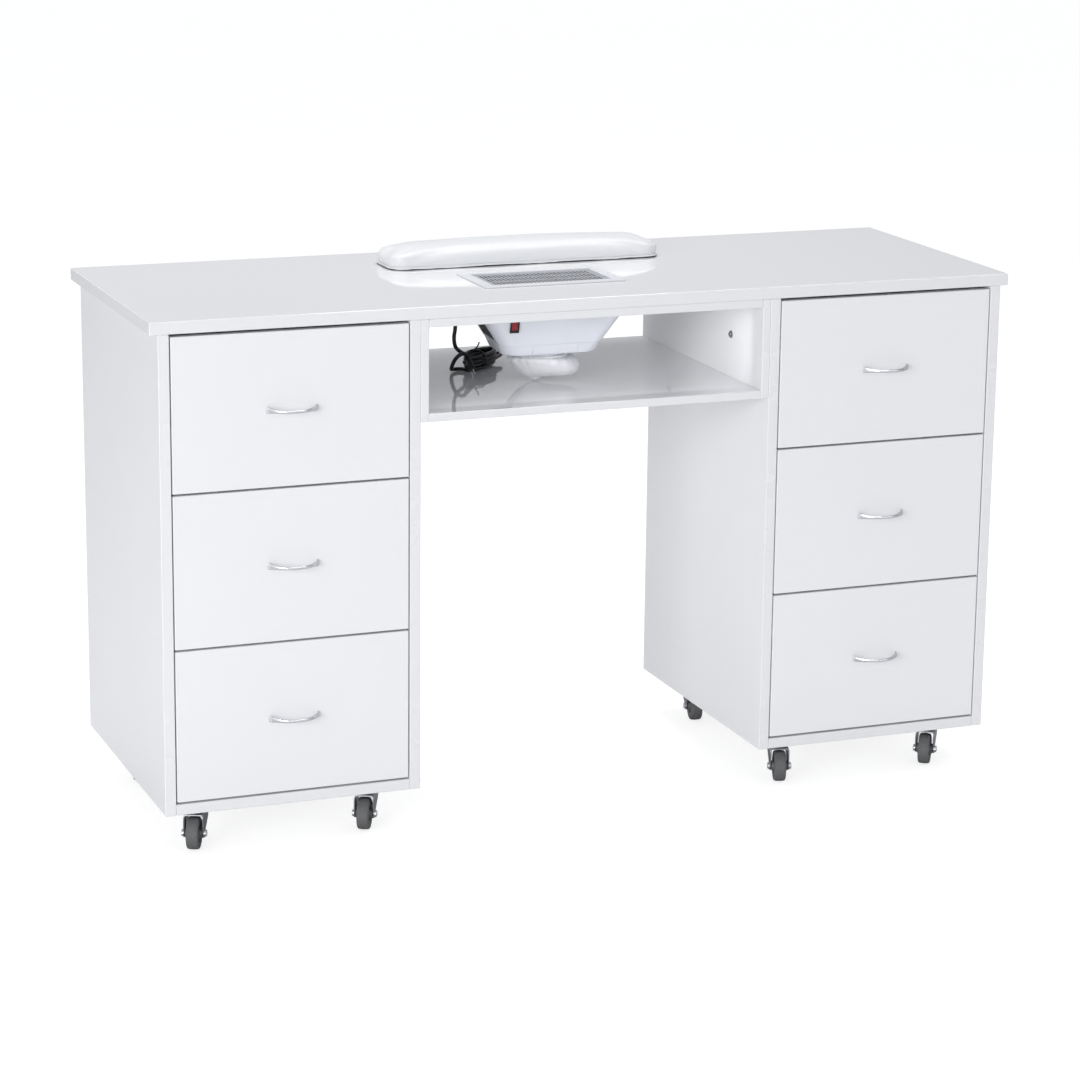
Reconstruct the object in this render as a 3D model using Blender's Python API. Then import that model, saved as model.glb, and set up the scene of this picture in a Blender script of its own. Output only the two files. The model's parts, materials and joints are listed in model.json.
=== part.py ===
"""Manicure table: two drawer pedestals on casters, a shelf box between them, a dust extractor
let into the tabletop and a padded armrest.

Origin: on the floor under the middle of the whole table, handles included. +X is to the right of
someone facing the drawers, +Y points to the armrest side and +Z is up, so the drawers open
towards -Y. The pieces are laid out about the tabletop's centre and set back at the end.
All sizes are in metres.
"""

import math

import bmesh
import bpy
from mathutils import Matrix, Vector

# ---------------------------------------------------------------- driving dimensions
GAP = 0.0003                  # between neighbouring pieces
TABLE_HEIGHT = 0.786
TOP_SIZE = (1.340, 0.468, 0.018)
TOP_OVERHANG_SIDE = 0.012
TOP_OVERHANG_FRONT = 0.001
TOP_OVERHANG_BACK = 0.011
CARCASS_HEIGHT = 0.700
PEDESTAL_WIDTH = 0.384
BOARD = 0.016                 # pedestal boards
ARRIS = 0.0008                # broken edge of every board

FRONT_HEIGHT = 0.2235         # drawer fronts
FRONT_SIDE_GAP = 0.002
FRONT_GAP = 0.003             # under the lowest front and between fronts
DRAWER_ROWS = ("bottom", "middle", "top")
DRAWER_BOX_DEPTH = 0.400
DRAWER_BOX_HEIGHT = 0.150
DRAWER_BOX_RISE = 0.020       # box floor above the front's lower edge
DRAWER_WALL = 0.012
DRAWER_FLOOR = 0.006
SLIDE_SPACE = 0.013           # room for a runner on each side of a drawer box

HANDLE_SPAN = 0.066           # between the middles of the two ends
HANDLE_REACH = 0.021          # from the drawer front to the bow's centre line
HANDLE_END_HEIGHT = 0.0095
HANDLE_MIDDLE_HEIGHT = 0.0045
HANDLE_THICKNESS = 0.0045

BOX_HEIGHT = 0.150            # the box between the pedestals
BOX_BOARD = 0.012
RAIL_DEPTH = 0.060            # front and back rails under the tabletop

VENT_CENTRE = Vector((-0.024, -0.057))
CUTOUT_SIZE = (0.204, 0.110)
BEZEL_SIZE = (0.224, 0.130)
BEZEL_THICKNESS = 0.0016
GRILLE_SIZE = (0.188, 0.094, 0.0012)
GRILLE_LEDGE = 0.005
SLOT_COLUMNS = 28
SLOT_ROWS = 3
SLOT_SIZE = (0.0034, 0.0235)
SLOT_PITCH = (0.0062, 0.0272)

HOUSING_WALL = 0.0025
HOUSING_DROP = 0.1060         # from the tabletop's underside to the end of the outlet neck
NECK_RADIUS = 0.0360
WINDOW_SIZE = (0.080, 0.056)  # side outlet in the housing's left wall
SWITCH_X = -0.0915
SWITCH_DROP = 0.0392          # from the tabletop's underside to the middle of the switch
SWITCH_FRAME_SIZE = (0.0140, 0.0210)
SWITCH_HOLE_SIZE = (0.0124, 0.0194)
ROCKER_SIZE = (0.0090, 0.0122)
ROCKER_TILT = math.radians(8)

ARMREST_CENTRE = Vector((0.002, 0.108))
ARMREST_SIZE = (0.444, 0.100)
ARMREST_HEIGHT = 0.0360       # crown above the tabletop
ARMREST_ARCH = 0.0060         # how much lower the crown is towards the ends
ARMREST_BASE = 0.0024
ARMREST_SIDE_POINTS = 7       # along each long side, so that the crown can arch
BAG_OFFSET = Vector((0.004, 0.008))
BAG_HALF = (0.056, 0.045)
BAG_CLEARANCE = 0.0090        # from the shelf to the belly, where only the tied tail hangs lower
BAG_TAIL_OFFSET = Vector((-0.0055, 0.0020))

CASTER_INSET = 0.062          # from the pedestal's sides and ends to the swivel axis
CASTER_TRAIL = 0.022
CASTER_TURN = {               # degrees the forks stand turned from straight ahead
    "left_front_outer": -25, "left_front_inner": -27,
    "right_front_inner": -19, "right_front_outer": -34,
    "left_back_outer": -16, "left_back_inner": -24,
    "right_back_inner": -12, "right_back_outer": -30,
}
WHEEL_RADIUS = 0.024
WHEEL_WIDTH = 0.018
HUB_WIDTH = 0.0244
HUB_RADIUS = 0.008
AXLE_RADIUS = 0.0030
AXLE_LENGTH = 0.0380
BORE_RADIUS = 0.0034
STEM_RADIUS = 0.0050
STEM_HOLE_RADIUS = 0.0054
STEM_LENGTH = 0.0130
COLLAR_RADIUS = 0.0125
FORK_WIDTH = 0.0300
FORK_PLATE = 0.0022
FORK_CLEARANCE = 0.0030       # over the wheel

CORD_RADIUS = 0.0032
PLUG_RADIUS = 0.0062

# ---------------------------------------------------------------- derived places
TOP_UNDERSIDE = TABLE_HEIGHT - TOP_SIZE[2]
CARCASS_BOTTOM = TOP_UNDERSIDE - CARCASS_HEIGHT
CARCASS_HALF = TOP_SIZE[0] / 2 - TOP_OVERHANG_SIDE
FRONT_Y = -TOP_SIZE[1] / 2 + TOP_OVERHANG_FRONT
BACK_Y = TOP_SIZE[1] / 2 - TOP_OVERHANG_BACK
KNEE_HALF = CARCASS_HALF - PEDESTAL_WIDTH
SHELF_TOP = TOP_UNDERSIDE - BOX_HEIGHT + BOX_BOARD
TABLE_SET_BACK = (HANDLE_REACH + HANDLE_THICKNESS + GAP - TOP_OVERHANG_FRONT) / 2
SIDES = {"left": -1, "right": 1}


# ---------------------------------------------------------------- scene and materials
def clear_scene():
    for obj in list(bpy.data.objects):
        bpy.data.objects.remove(obj, do_unlink=True)


def material(name, color, roughness, metallic=0.0):
    mat = bpy.data.materials.get(name) or bpy.data.materials.new(name)
    mat.use_nodes = True
    shader = mat.node_tree.nodes["Principled BSDF"]
    shader.inputs["Base Color"].default_value = (*color, 1.0)
    shader.inputs["Roughness"].default_value = roughness
    shader.inputs["Metallic"].default_value = metallic
    return mat


def laminate():
    return material("white_laminate", (0.86, 0.86, 0.88), 0.25)


def drawer_board():
    return material("drawer_board", (0.80, 0.80, 0.80), 0.45)


def chrome():
    return material("chrome", (0.72, 0.73, 0.75), 0.12, 1.0)


def white_plastic():
    return material("white_plastic", (0.84, 0.85, 0.88), 0.35)


def black_plastic():
    return material("black_plastic", (0.02, 0.02, 0.02), 0.40)


def dark_plastic():
    return material("dark_grey_plastic", (0.09, 0.09, 0.10), 0.50)


def red_plastic():
    return material("red_plastic", (0.55, 0.02, 0.03), 0.30)


def white_leatherette():
    return material("white_leatherette", (0.86, 0.87, 0.88), 0.45)


def white_fabric():
    return material("white_fabric", (0.82, 0.82, 0.83), 0.85)


def zinc():
    return material("zinc_plated_steel", (0.55, 0.56, 0.58), 0.30, 1.0)


def grille_steel():
    return material("grille_steel", (0.45, 0.46, 0.48), 0.35, 1.0)


def motor_metal():
    return material("motor_metal", (0.40, 0.40, 0.41), 0.45, 1.0)


def grey_rubber():
    return material("grey_rubber", (0.10, 0.10, 0.10), 0.70)


# ---------------------------------------------------------------- mesh tools
def mesh_from(name, points, faces):
    mesh = bpy.data.meshes.new(name)
    mesh.from_pydata([tuple(p) for p in points], [], faces)
    mesh.validate()
    mesh.update()
    return mesh


def add_object(name, mesh, mat, smooth=False):
    obj = bpy.data.objects.new(name, mesh)
    bpy.context.scene.collection.objects.link(obj)
    if not mesh.materials:
        mesh.materials.append(mat)
    if smooth:
        mesh.shade_smooth()
        mesh.set_sharp_from_angle(angle=math.radians(35))
    return obj


def add_empty(name, place, turn=(0.0, 0.0, 0.0)):
    empty = bpy.data.objects.new(name, None)
    empty.location = place
    empty.rotation_euler = turn
    empty.empty_display_size = 0.02
    bpy.context.scene.collection.objects.link(empty)
    return empty


def box_mesh(name, low, high):
    points = [(x, y, z) for z in (low[2], high[2]) for y in (low[1], high[1])
              for x in (low[0], high[0])]
    faces = [(0, 2, 3, 1), (4, 5, 7, 6), (0, 1, 5, 4), (2, 6, 7, 3), (0, 4, 6, 2), (1, 3, 7, 5)]
    return mesh_from(name, points, faces)


def board(name, low, high, mat):
    """A flat board with a small chamfer along every edge."""
    obj = add_object(name, box_mesh(name, low, high), mat)
    bevel = obj.modifiers.new("arris", "BEVEL")
    bevel.width = ARRIS
    bevel.segments = 1
    bevel.limit_method = "ANGLE"
    return obj


def cutter(name, mesh):
    obj = bpy.data.objects.new(name, mesh)
    bpy.context.scene.collection.objects.link(obj)
    obj.hide_render = True
    obj.display_type = "WIRE"
    return obj


def combine(obj, tool, operation):
    boolean = obj.modifiers.new(tool.name, "BOOLEAN")
    boolean.operation = operation
    boolean.solver = "EXACT"
    boolean.object = tool


def applied_mesh(obj):
    """The object's mesh with its modifiers applied."""
    bpy.context.view_layer.update()
    evaluated = obj.evaluated_get(bpy.context.evaluated_depsgraph_get())
    return bpy.data.meshes.new_from_object(evaluated)


def union_mesh(name, meshes):
    """One mesh that is the union of several closed meshes."""
    base = cutter(name + "_union", meshes[0])
    tools = [cutter(f"{name}_piece_{i}", mesh) for i, mesh in enumerate(meshes[1:])]
    for tool in tools:
        combine(base, tool, "UNION")
    result = applied_mesh(base)
    for obj in (base, *tools):
        bpy.data.objects.remove(obj, do_unlink=True)
    result.name = name
    return result


def loft_mesh(name, loops, closed=False):
    """Skin over equally long loops. Open ends are capped, or the last loop joins the first."""
    count = len(loops[0])
    points = [p for loop in loops for p in loop]
    faces = []
    spans = len(loops) if closed else len(loops) - 1
    for i in range(spans):
        low = i * count
        high = (i + 1) % len(loops) * count
        for j in range(count):
            k = (j + 1) % count
            faces.append((low + j, low + k, high + k, high + j))
    if not closed:
        faces.append(tuple(reversed(range(count))))
        faces.append(tuple(range((len(loops) - 1) * count, len(loops) * count)))
    mesh = mesh_from(name, points, faces)
    face_outwards(mesh)
    return mesh


def face_outwards(mesh):
    work = bmesh.new()
    work.from_mesh(mesh)
    bmesh.ops.recalc_face_normals(work, faces=work.faces)
    work.to_mesh(mesh)
    work.free()


def lathe_mesh(name, profile, segments, axis="Z"):
    """A closed profile of (radius, height) turned about an axis; radius 0 isn't used."""
    loops = []
    for i in range(segments):
        angle = 2 * math.pi * i / segments
        c, s = math.cos(angle), math.sin(angle)
        if axis == "Z":
            loops.append([Vector((r * c, r * s, h)) for r, h in profile])
        else:
            loops.append([Vector((h, r * c, r * s)) for r, h in profile])
    return loft_mesh(name, loops, closed=True)


def disc_loop(radius, height, segments, axis="Z"):
    loop = []
    for i in range(segments):
        angle = 2 * math.pi * i / segments
        c, s = radius * math.cos(angle), radius * math.sin(angle)
        loop.append(Vector((c, s, height)) if axis == "Z" else Vector((height, c, s)))
    return loop


def rod_mesh(name, radius, start, end, segments, axis="Z"):
    return loft_mesh(name, [disc_loop(radius, h, segments, axis) for h in (start, end)])


def rounded_loop(centre, half, radius, height, corner_steps=5):
    """A rectangle with rounded corners, as a loop of points at one height."""
    loop = []
    for corner, (sx, sy) in enumerate(((1, 1), (-1, 1), (-1, -1), (1, -1))):
        pivot = Vector((centre[0] + sx * (half[0] - radius), centre[1] + sy * (half[1] - radius)))
        for step in range(corner_steps):
            angle = math.pi / 2 * (corner + step / (corner_steps - 1))
            loop.append(Vector((pivot.x + radius * math.cos(angle),
                                pivot.y + radius * math.sin(angle), height)))
    return loop


def with_side_points(loop, corner_steps, extra):
    """A rounded rectangle's loop with extra points along its two sides that run in X."""
    result = []
    for i, point in enumerate(loop):
        result.append(point)
        if i in (corner_steps - 1, 3 * corner_steps - 1):
            ahead = loop[i + 1]
            result += [point.lerp(ahead, (j + 1) / (extra + 1)) for j in range(extra)]
    return result


def extrude_outline(name, outline, start, end, axis):
    """A flat outline of two coordinates, pushed along the third axis from start to end."""
    def place(p, depth):
        if axis == "X":
            return Vector((depth, p[0], p[1]))
        return Vector((p[0], p[1], depth))
    return loft_mesh(name, [[place(p, depth) for p in outline] for depth in (start, end)])


def stem_places(side):
    """Where a pedestal's four caster stems stand: {(end, row): (x, y)}."""
    outer = SIDES[side] * (CARCASS_HALF - CASTER_INSET)
    inner = SIDES[side] * (KNEE_HALF + CASTER_INSET)
    ends = {"front": FRONT_Y + CASTER_INSET, "back": BACK_Y - CASTER_INSET}
    return {(end, row): (x, y) for end, y in ends.items()
            for row, x in (("outer", outer), ("inner", inner))}


# ---------------------------------------------------------------- tabletop and carcass
def build_tabletop():
    half = (TOP_SIZE[0] / 2, TOP_SIZE[1] / 2)
    top = board("tabletop", (-half[0], -half[1], TOP_UNDERSIDE), (half[0], half[1], TABLE_HEIGHT),
                laminate())
    low = (VENT_CENTRE.x - CUTOUT_SIZE[0] / 2, VENT_CENTRE.y - CUTOUT_SIZE[1] / 2,
           TOP_UNDERSIDE - 0.01)
    high = (VENT_CENTRE.x + CUTOUT_SIZE[0] / 2, VENT_CENTRE.y + CUTOUT_SIZE[1] / 2,
            TABLE_HEIGHT + 0.01)
    combine(top, cutter("extractor_cutout", box_mesh("extractor_cutout", low, high)),
            "DIFFERENCE")


def build_pedestal(side):
    sign = SIDES[side]

    def slab(part, near, far, y_range, z_range):
        xs = sorted((sign * near, sign * far))
        return board(f"{side}_pedestal_{part}", (xs[0], y_range[0], z_range[0]),
                     (xs[1], y_range[1], z_range[1]), laminate())

    heights = (CARCASS_BOTTOM, TOP_UNDERSIDE - GAP)
    inner = (KNEE_HALF + BOARD + GAP, CARCASS_HALF - BOARD - GAP)
    slab("outer_side", CARCASS_HALF - BOARD, CARCASS_HALF, (FRONT_Y, BACK_Y), heights)
    slab("inner_side", KNEE_HALF, KNEE_HALF + BOARD, (FRONT_Y, BACK_Y), heights)
    slab("back", *inner, (BACK_Y - BOARD, BACK_Y), heights)
    bottom = slab("bottom", *inner, (FRONT_Y, BACK_Y - BOARD - GAP),
                  (CARCASS_BOTTOM, CARCASS_BOTTOM + BOARD))
    for (end, row), (x, y) in stem_places(side).items():
        name = f"{side}_{end}_{row}_stem_hole"
        hole = cutter(name, rod_mesh(name, STEM_HOLE_RADIUS, -0.03, 0.03, 16))
        hole.location = (x, y, CARCASS_BOTTOM)
        combine(bottom, hole, "DIFFERENCE")


def build_centre_box():
    inside = KNEE_HALF - GAP
    box_bottom = TOP_UNDERSIDE - BOX_HEIGHT
    for side, sign in SIDES.items():
        xs = sorted((sign * inside, sign * (inside - BOX_BOARD)))
        board(f"centre_{side}_side", (xs[0], FRONT_Y, box_bottom),
              (xs[1], BACK_Y, TOP_UNDERSIDE - GAP), laminate())
    half = inside - BOX_BOARD - GAP
    board("centre_shelf", (-half, FRONT_Y, box_bottom), (half, BACK_Y, SHELF_TOP), laminate())
    for name, ys in (("centre_front_rail", (FRONT_Y, FRONT_Y + RAIL_DEPTH)),
                     ("centre_back_rail", (BACK_Y - RAIL_DEPTH, BACK_Y))):
        board(name, (-half, ys[0], TOP_UNDERSIDE - GAP - BOX_BOARD),
              (half, ys[1], TOP_UNDERSIDE - GAP), laminate())


# ---------------------------------------------------------------- drawers
def open_box_mesh(name, low, high, wall, floor):
    """A box with walls and a floor, open at the top, as one solid."""
    def ring(inset, z):
        return [Vector((x, y, z)) for x, y in (
            (low[0] + inset, low[1] + inset), (high[0] - inset, low[1] + inset),
            (high[0] - inset, high[1] - inset), (low[0] + inset, high[1] - inset))]
    loops = [ring(0, low[2]), ring(0, high[2]), ring(wall, high[2]), ring(wall, low[2] + floor)]
    return loft_mesh(name, loops)


def handle_mesh():
    """A bow handle: flat wide ends on the drawer front, narrow where it arches out."""
    rings, sides = 15, 8
    fullness = 2.6                # how square the bow is
    flare = 0.10                  # how much the ends spread along the front
    loops = []
    for i in range(rings):
        t = -1 + 2 * i / (rings - 1)
        x = t * HANDLE_SPAN / 2 * (1 + flare * t * t)
        reach = HANDLE_REACH * (1 - abs(t) ** fullness)
        height = HANDLE_MIDDLE_HEIGHT + (HANDLE_END_HEIGHT - HANDLE_MIDDLE_HEIGHT) * t * t
        steepness = math.copysign(abs(t) ** (fullness - 1), t)
        slope = -fullness * HANDLE_REACH * steepness / (HANDLE_SPAN / 2)
        along = Vector((1, -slope, 0)).normalized()
        out = Vector((along.y, -along.x, 0))
        centre = Vector((x, -reach - HANDLE_THICKNESS / 2 - GAP, 0))
        loop = []
        for j in range(sides):
            angle = 2 * math.pi * j / sides
            loop.append(centre + out * (math.cos(angle) * HANDLE_THICKNESS / 2)
                        + Vector((0, 0, math.sin(angle) * height / 2)))
        loops.append(loop)
    for foot in (loops[0], loops[-1]):
        for point in foot:
            point.y = -GAP
    return loft_mesh("bow_handle", loops)


def build_drawer(side, row, handle):
    level = DRAWER_ROWS.index(row)
    front_bottom = CARCASS_BOTTOM + BOARD + FRONT_GAP + level * (FRONT_HEIGHT + FRONT_GAP)
    centre_x = SIDES[side] * (CARCASS_HALF - PEDESTAL_WIDTH / 2)
    opening = PEDESTAL_WIDTH - 2 * BOARD
    slider = add_empty(f"drawer_{side}_{row}_slide",
                       (centre_x, FRONT_Y, front_bottom + FRONT_HEIGHT / 2))

    half = opening / 2 - FRONT_SIDE_GAP
    front = board(f"drawer_front_{side}_{row}", (-half, 0, -FRONT_HEIGHT / 2),
                  (half, BOARD, FRONT_HEIGHT / 2), laminate())
    box_half = opening / 2 - SLIDE_SPACE
    floor = DRAWER_BOX_RISE - FRONT_HEIGHT / 2
    box_name = f"drawer_box_{side}_{row}"
    box = add_object(box_name, open_box_mesh(
        box_name, (-box_half, BOARD + GAP, floor),
        (box_half, BOARD + GAP + DRAWER_BOX_DEPTH, floor + DRAWER_BOX_HEIGHT),
        DRAWER_WALL, DRAWER_FLOOR), drawer_board())
    pull = add_object(f"drawer_handle_{side}_{row}", handle, chrome(), smooth=True)
    for obj in (front, box, pull):
        obj.parent = slider


# ---------------------------------------------------------------- dust extractor
def build_vent_frame():
    """A flange on the tabletop, and a skirt in the cut-out whose ledge carries the grille."""
    skirt = [side - 2 * 0.0006 for side in CUTOUT_SIZE]
    well = [side + 2 * 0.0008 for side in GRILLE_SIZE[:2]]
    ledge = [side - 2 * GRILLE_LEDGE for side in GRILLE_SIZE[:2]]
    ledge_top = TABLE_HEIGHT - GRILLE_SIZE[2] - GAP
    flange_low = TABLE_HEIGHT + GAP
    flange_high = flange_low + BEZEL_THICKNESS
    skirt_low = TOP_UNDERSIDE + 0.002
    outline = [(BEZEL_SIZE, 0.004, flange_low), (BEZEL_SIZE, 0.004, flange_high),
               (well, 0.0008, flange_high), (well, 0.0008, ledge_top), (ledge, 0.002, ledge_top),
               (ledge, 0.002, skirt_low), (skirt, 0.002, skirt_low), (skirt, 0.002, flange_low)]
    loops = [rounded_loop(VENT_CENTRE, (size[0] / 2, size[1] / 2), radius, z, corner_steps=3)
             for size, radius, z in outline]
    add_object("vent_frame", loft_mesh("vent_frame", loops, closed=True), white_plastic())


def build_vent_grille():
    """A flat steel plate with three rows of narrow slots."""
    half = (GRILLE_SIZE[0] / 2, GRILLE_SIZE[1] / 2)
    low, high = TABLE_HEIGHT - GRILLE_SIZE[2], TABLE_HEIGHT
    work = bmesh.new()

    def slot_edges(count, pitch, width):
        first = -(count - 1) / 2 * pitch
        return [first + i * pitch + sign * width / 2 for i in range(count) for sign in (-1, 1)]

    def quad(x0, y0, x1, y1):
        corners = [(x0, y0), (x1, y0), (x1, y1), (x0, y1)]
        work.faces.new([work.verts.new((*c, high)) for c in corners])

    xs = [-half[0], *slot_edges(SLOT_COLUMNS, SLOT_PITCH[0], SLOT_SIZE[0]), half[0]]
    ys = [-half[1], *slot_edges(SLOT_ROWS, SLOT_PITCH[1], SLOT_SIZE[1]), half[1]]
    for j in range(len(ys) - 1):
        for i in range(len(xs) - 1):
            if i % 2 == 1 and j % 2 == 1:
                continue
            quad(xs[i], ys[j], xs[i + 1], ys[j + 1])
    bmesh.ops.remove_doubles(work, verts=work.verts, dist=1e-6)
    plate = bmesh.ops.extrude_face_region(work, geom=work.faces[:])
    moved = [v for v in plate["geom"] if isinstance(v, bmesh.types.BMVert)]
    bmesh.ops.translate(work, verts=moved, vec=(0, 0, low - high))
    bmesh.ops.recalc_face_normals(work, faces=work.faces)
    mesh = bpy.data.meshes.new("vent_grille")
    work.to_mesh(mesh)
    work.free()
    grille = add_object("vent_grille", mesh, grille_steel())
    grille.location = (*VENT_CENTRE, 0)


def housing_sections():
    """Outer sections of the funnel, top to bottom: (height, half x, half y, corner radius)."""
    top = TOP_UNDERSIDE - GAP
    shoulder = NECK_RADIUS + 0.008
    drops = [
        (0.0000, 0.134, 0.086, 0.022),
        (0.0040, 0.134, 0.086, 0.022),
        (0.0040, 0.124, 0.077, 0.022),
        (0.0170, 0.121, 0.074, 0.022),
        (0.0720, 0.087, 0.061, 0.022),
        (0.0900, 0.075, 0.055, 0.030),
        (0.0925, shoulder, shoulder, shoulder),
        (0.0950, NECK_RADIUS, NECK_RADIUS, NECK_RADIUS),
        (HOUSING_DROP, NECK_RADIUS, NECK_RADIUS, NECK_RADIUS),
    ]
    return [(top - drop, half_x, half_y, radius) for drop, half_x, half_y, radius in drops]


def wall_slope():
    """How far the housing's left and front walls lean in over the tall middle section."""
    (z0, x0, y0, _), (z1, x1, y1, _) = housing_sections()[3:5]
    return math.atan2(x0 - x1, z0 - z1), math.atan2(y0 - y1, z0 - z1)


def window_matrix():
    """Frame of the side outlet: X along the wall, Y up the slope, Z out of the left wall."""
    (z0, x0, _, _), (z1, x1, _, _) = housing_sections()[3:5]
    lean = wall_slope()[0]
    centre = Vector((VENT_CENTRE.x - (x0 + x1) / 2, VENT_CENTRE.y, (z0 + z1) / 2))
    out = Vector((-math.cos(lean), 0, -math.sin(lean)))
    up = Vector((-math.sin(lean), 0, math.cos(lean)))
    along = up.cross(out)
    return Matrix((along, up, out)).transposed().to_4x4(), centre


def switch_matrix():
    """Frame of the switch: X to the right, Y up the slope, Z out of the front wall."""
    (z0, _, y0, _), (z1, _, y1, _) = housing_sections()[3:5]
    lean = wall_slope()[1]
    height = TOP_UNDERSIDE - SWITCH_DROP
    share = (height - z1) / (z0 - z1)
    wall_y = VENT_CENTRE.y - (y1 + (y0 - y1) * share)
    out = Vector((0, -math.cos(lean), -math.sin(lean)))
    up = Vector((0, -math.sin(lean), math.cos(lean)))
    along = up.cross(out)
    return (Matrix((along, up, out)).transposed().to_4x4(),
            Vector((SWITCH_X, wall_y, height)))


def placed(frame, size, depth):
    """A box mesh of a size in X and Y, spanning depth along Z, in a tilted frame."""
    rotation, centre = frame
    mesh = box_mesh("placed_box", (-size[0] / 2, -size[1] / 2, depth[0]),
                    (size[0] / 2, size[1] / 2, depth[1]))
    mesh.transform(Matrix.Translation(centre) @ rotation)
    return mesh


def build_housing():
    sections = housing_sections()
    outer = [rounded_loop(VENT_CENTRE, (hx, hy), r, z) for z, hx, hy, r in sections]
    inner = []
    for z, hx, hy, r in reversed(sections[2:]):
        level = sections[0][0] if z == sections[2][0] else z
        inner.append(rounded_loop(VENT_CENTRE, (hx - HOUSING_WALL, hy - HOUSING_WALL),
                                  max(r - HOUSING_WALL, 0.004), level))
    housing = add_object("extractor_housing", loft_mesh("extractor_housing", outer + inner,
                                                        closed=True), white_plastic(), smooth=True)
    window = placed(window_matrix(), WINDOW_SIZE, (-0.008, 0.008))
    combine(housing, cutter("side_window", window), "DIFFERENCE")
    hole = placed(switch_matrix(), SWITCH_HOLE_SIZE, (-0.008, 0.008))
    combine(housing, cutter("switch_hole", hole), "DIFFERENCE")


def build_side_vent():
    """A slotted plate that closes the side outlet."""
    rotation, centre = window_matrix()
    size = [side - 0.001 for side in WINDOW_SIZE]
    plate_depth = (-0.0022, -0.0004)
    plate = add_object("side_vent", placed((rotation, centre), size, plate_depth), dark_plastic())
    slots, slot_length, slot_share = 6, 0.88, 0.45
    for i in range(slots):
        offset = (i - (slots - 1) / 2) * size[1] / slots
        slot = placed((rotation, centre + rotation.to_3x3() @ Vector((0, offset, 0))),
                      (size[0] * slot_length, size[1] / slots * slot_share), (-0.01, 0.01))
        combine(plate, cutter(f"side_vent_slot_{i}", slot), "DIFFERENCE")


def build_switch():
    """A rocker that pivots across its middle, in a frame clipped into the front wall."""
    rotation, centre = switch_matrix()
    frame = (rotation, centre)
    flange_high, body_depth, pocket_depth = 0.0022, 0.0120, 0.0095
    body = [side - 2 * GAP for side in SWITCH_HOLE_SIZE]
    pieces = [placed(frame, SWITCH_FRAME_SIZE, (GAP, flange_high)),
              placed(frame, body, (-body_depth, flange_high / 2))]
    shell = add_object("switch_frame", union_mesh("switch_frame", pieces), black_plastic())
    clearance = (0.0005, 0.0007)     # beside the rocker, and at its tilting ends
    well = [side + 2 * play for side, play in zip(ROCKER_SIZE, clearance)]
    pocket = placed(frame, well, (-pocket_depth, 0.0100))
    combine(shell, cutter("rocker_pocket", pocket), "DIFFERENCE")

    reach = ROCKER_SIZE[1] / 2
    tip, valley, shoulder, belly = 0.0022, 0.0010, -0.0020, -0.0050
    outline = [(reach, tip), (0, valley), (-reach, tip), (-reach, shoulder),
               (-reach / 2, belly), (reach / 2, belly), (reach, shoulder)]
    rocker = add_object("rocker_switch", extrude_outline(
        "rocker_switch", outline, -ROCKER_SIZE[0] / 2, ROCKER_SIZE[0] / 2, "X"), red_plastic())
    pivot = add_empty("rocker_pivot", centre)
    pivot.rotation_euler = rotation.to_euler()
    rocker.parent = pivot
    rocker.rotation_euler = (-ROCKER_TILT, 0, 0)


def build_fan():
    """A motor on a cross of arms inside the housing, and a bladed rotor on its shaft."""
    motor_low, motor_high = TOP_UNDERSIDE - 0.086, TOP_UNDERSIDE - 0.062
    can_radius, can_edge = 0.030, 0.003
    arm_low, arm_high, arm_half = motor_low + 0.012, motor_low + 0.016, 0.005
    can = [(BORE_RADIUS, motor_high), (can_radius - can_edge, motor_high),
           (can_radius, motor_high - can_edge), (can_radius, motor_low + can_edge),
           (can_radius - can_edge, motor_low), (BORE_RADIUS, motor_low)]
    motor = [lathe_mesh("can", can, 24)]
    for name, half in (("arm_x", (0.0825, arm_half)), ("arm_y", (arm_half, 0.0570))):
        motor.append(box_mesh(name, (-half[0], -half[1], arm_low), (half[0], half[1], arm_high)))
    body = add_object("fan_motor", union_mesh("fan_motor", motor), motor_metal(), smooth=True)
    body.location = (*VENT_CENTRE, 0)
    through = cutter("motor_bore", rod_mesh("motor_bore", BORE_RADIUS, motor_low - 0.01,
                                            motor_high + 0.01, 16))
    through.location = (*VENT_CENTRE, 0)
    combine(body, through, "DIFFERENCE")

    blades, blade_pitch = 7, math.radians(38)
    hub_radius, blade_root, blade_reach = 0.017, 0.012, 0.048
    blade_half_width, blade_half_thickness = 0.010, 0.0008
    hub_low, hub_high = motor_high + 0.004, motor_high + 0.026
    pieces = [rod_mesh("hub", hub_radius, hub_low, hub_high, 20),
              rod_mesh("shaft", AXLE_RADIUS, motor_low + 0.004, hub_low + 0.002, 10)]
    for i in range(blades):
        blade = box_mesh(f"blade_{i}", (blade_root, -blade_half_thickness, -blade_half_width),
                         (blade_reach, blade_half_thickness, blade_half_width))
        pitch = Matrix.Rotation(blade_pitch, 4, "X")
        turn = Matrix.Rotation(2 * math.pi * i / blades, 4, "Z")
        blade.transform(Matrix.Translation((0, 0, (hub_low + hub_high) / 2)) @ turn @ pitch)
        pieces.append(blade)
    rotor = add_object("fan_rotor", union_mesh("fan_rotor", pieces), black_plastic(), smooth=True)
    rotor.location = (*VENT_CENTRE, 0)


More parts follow.
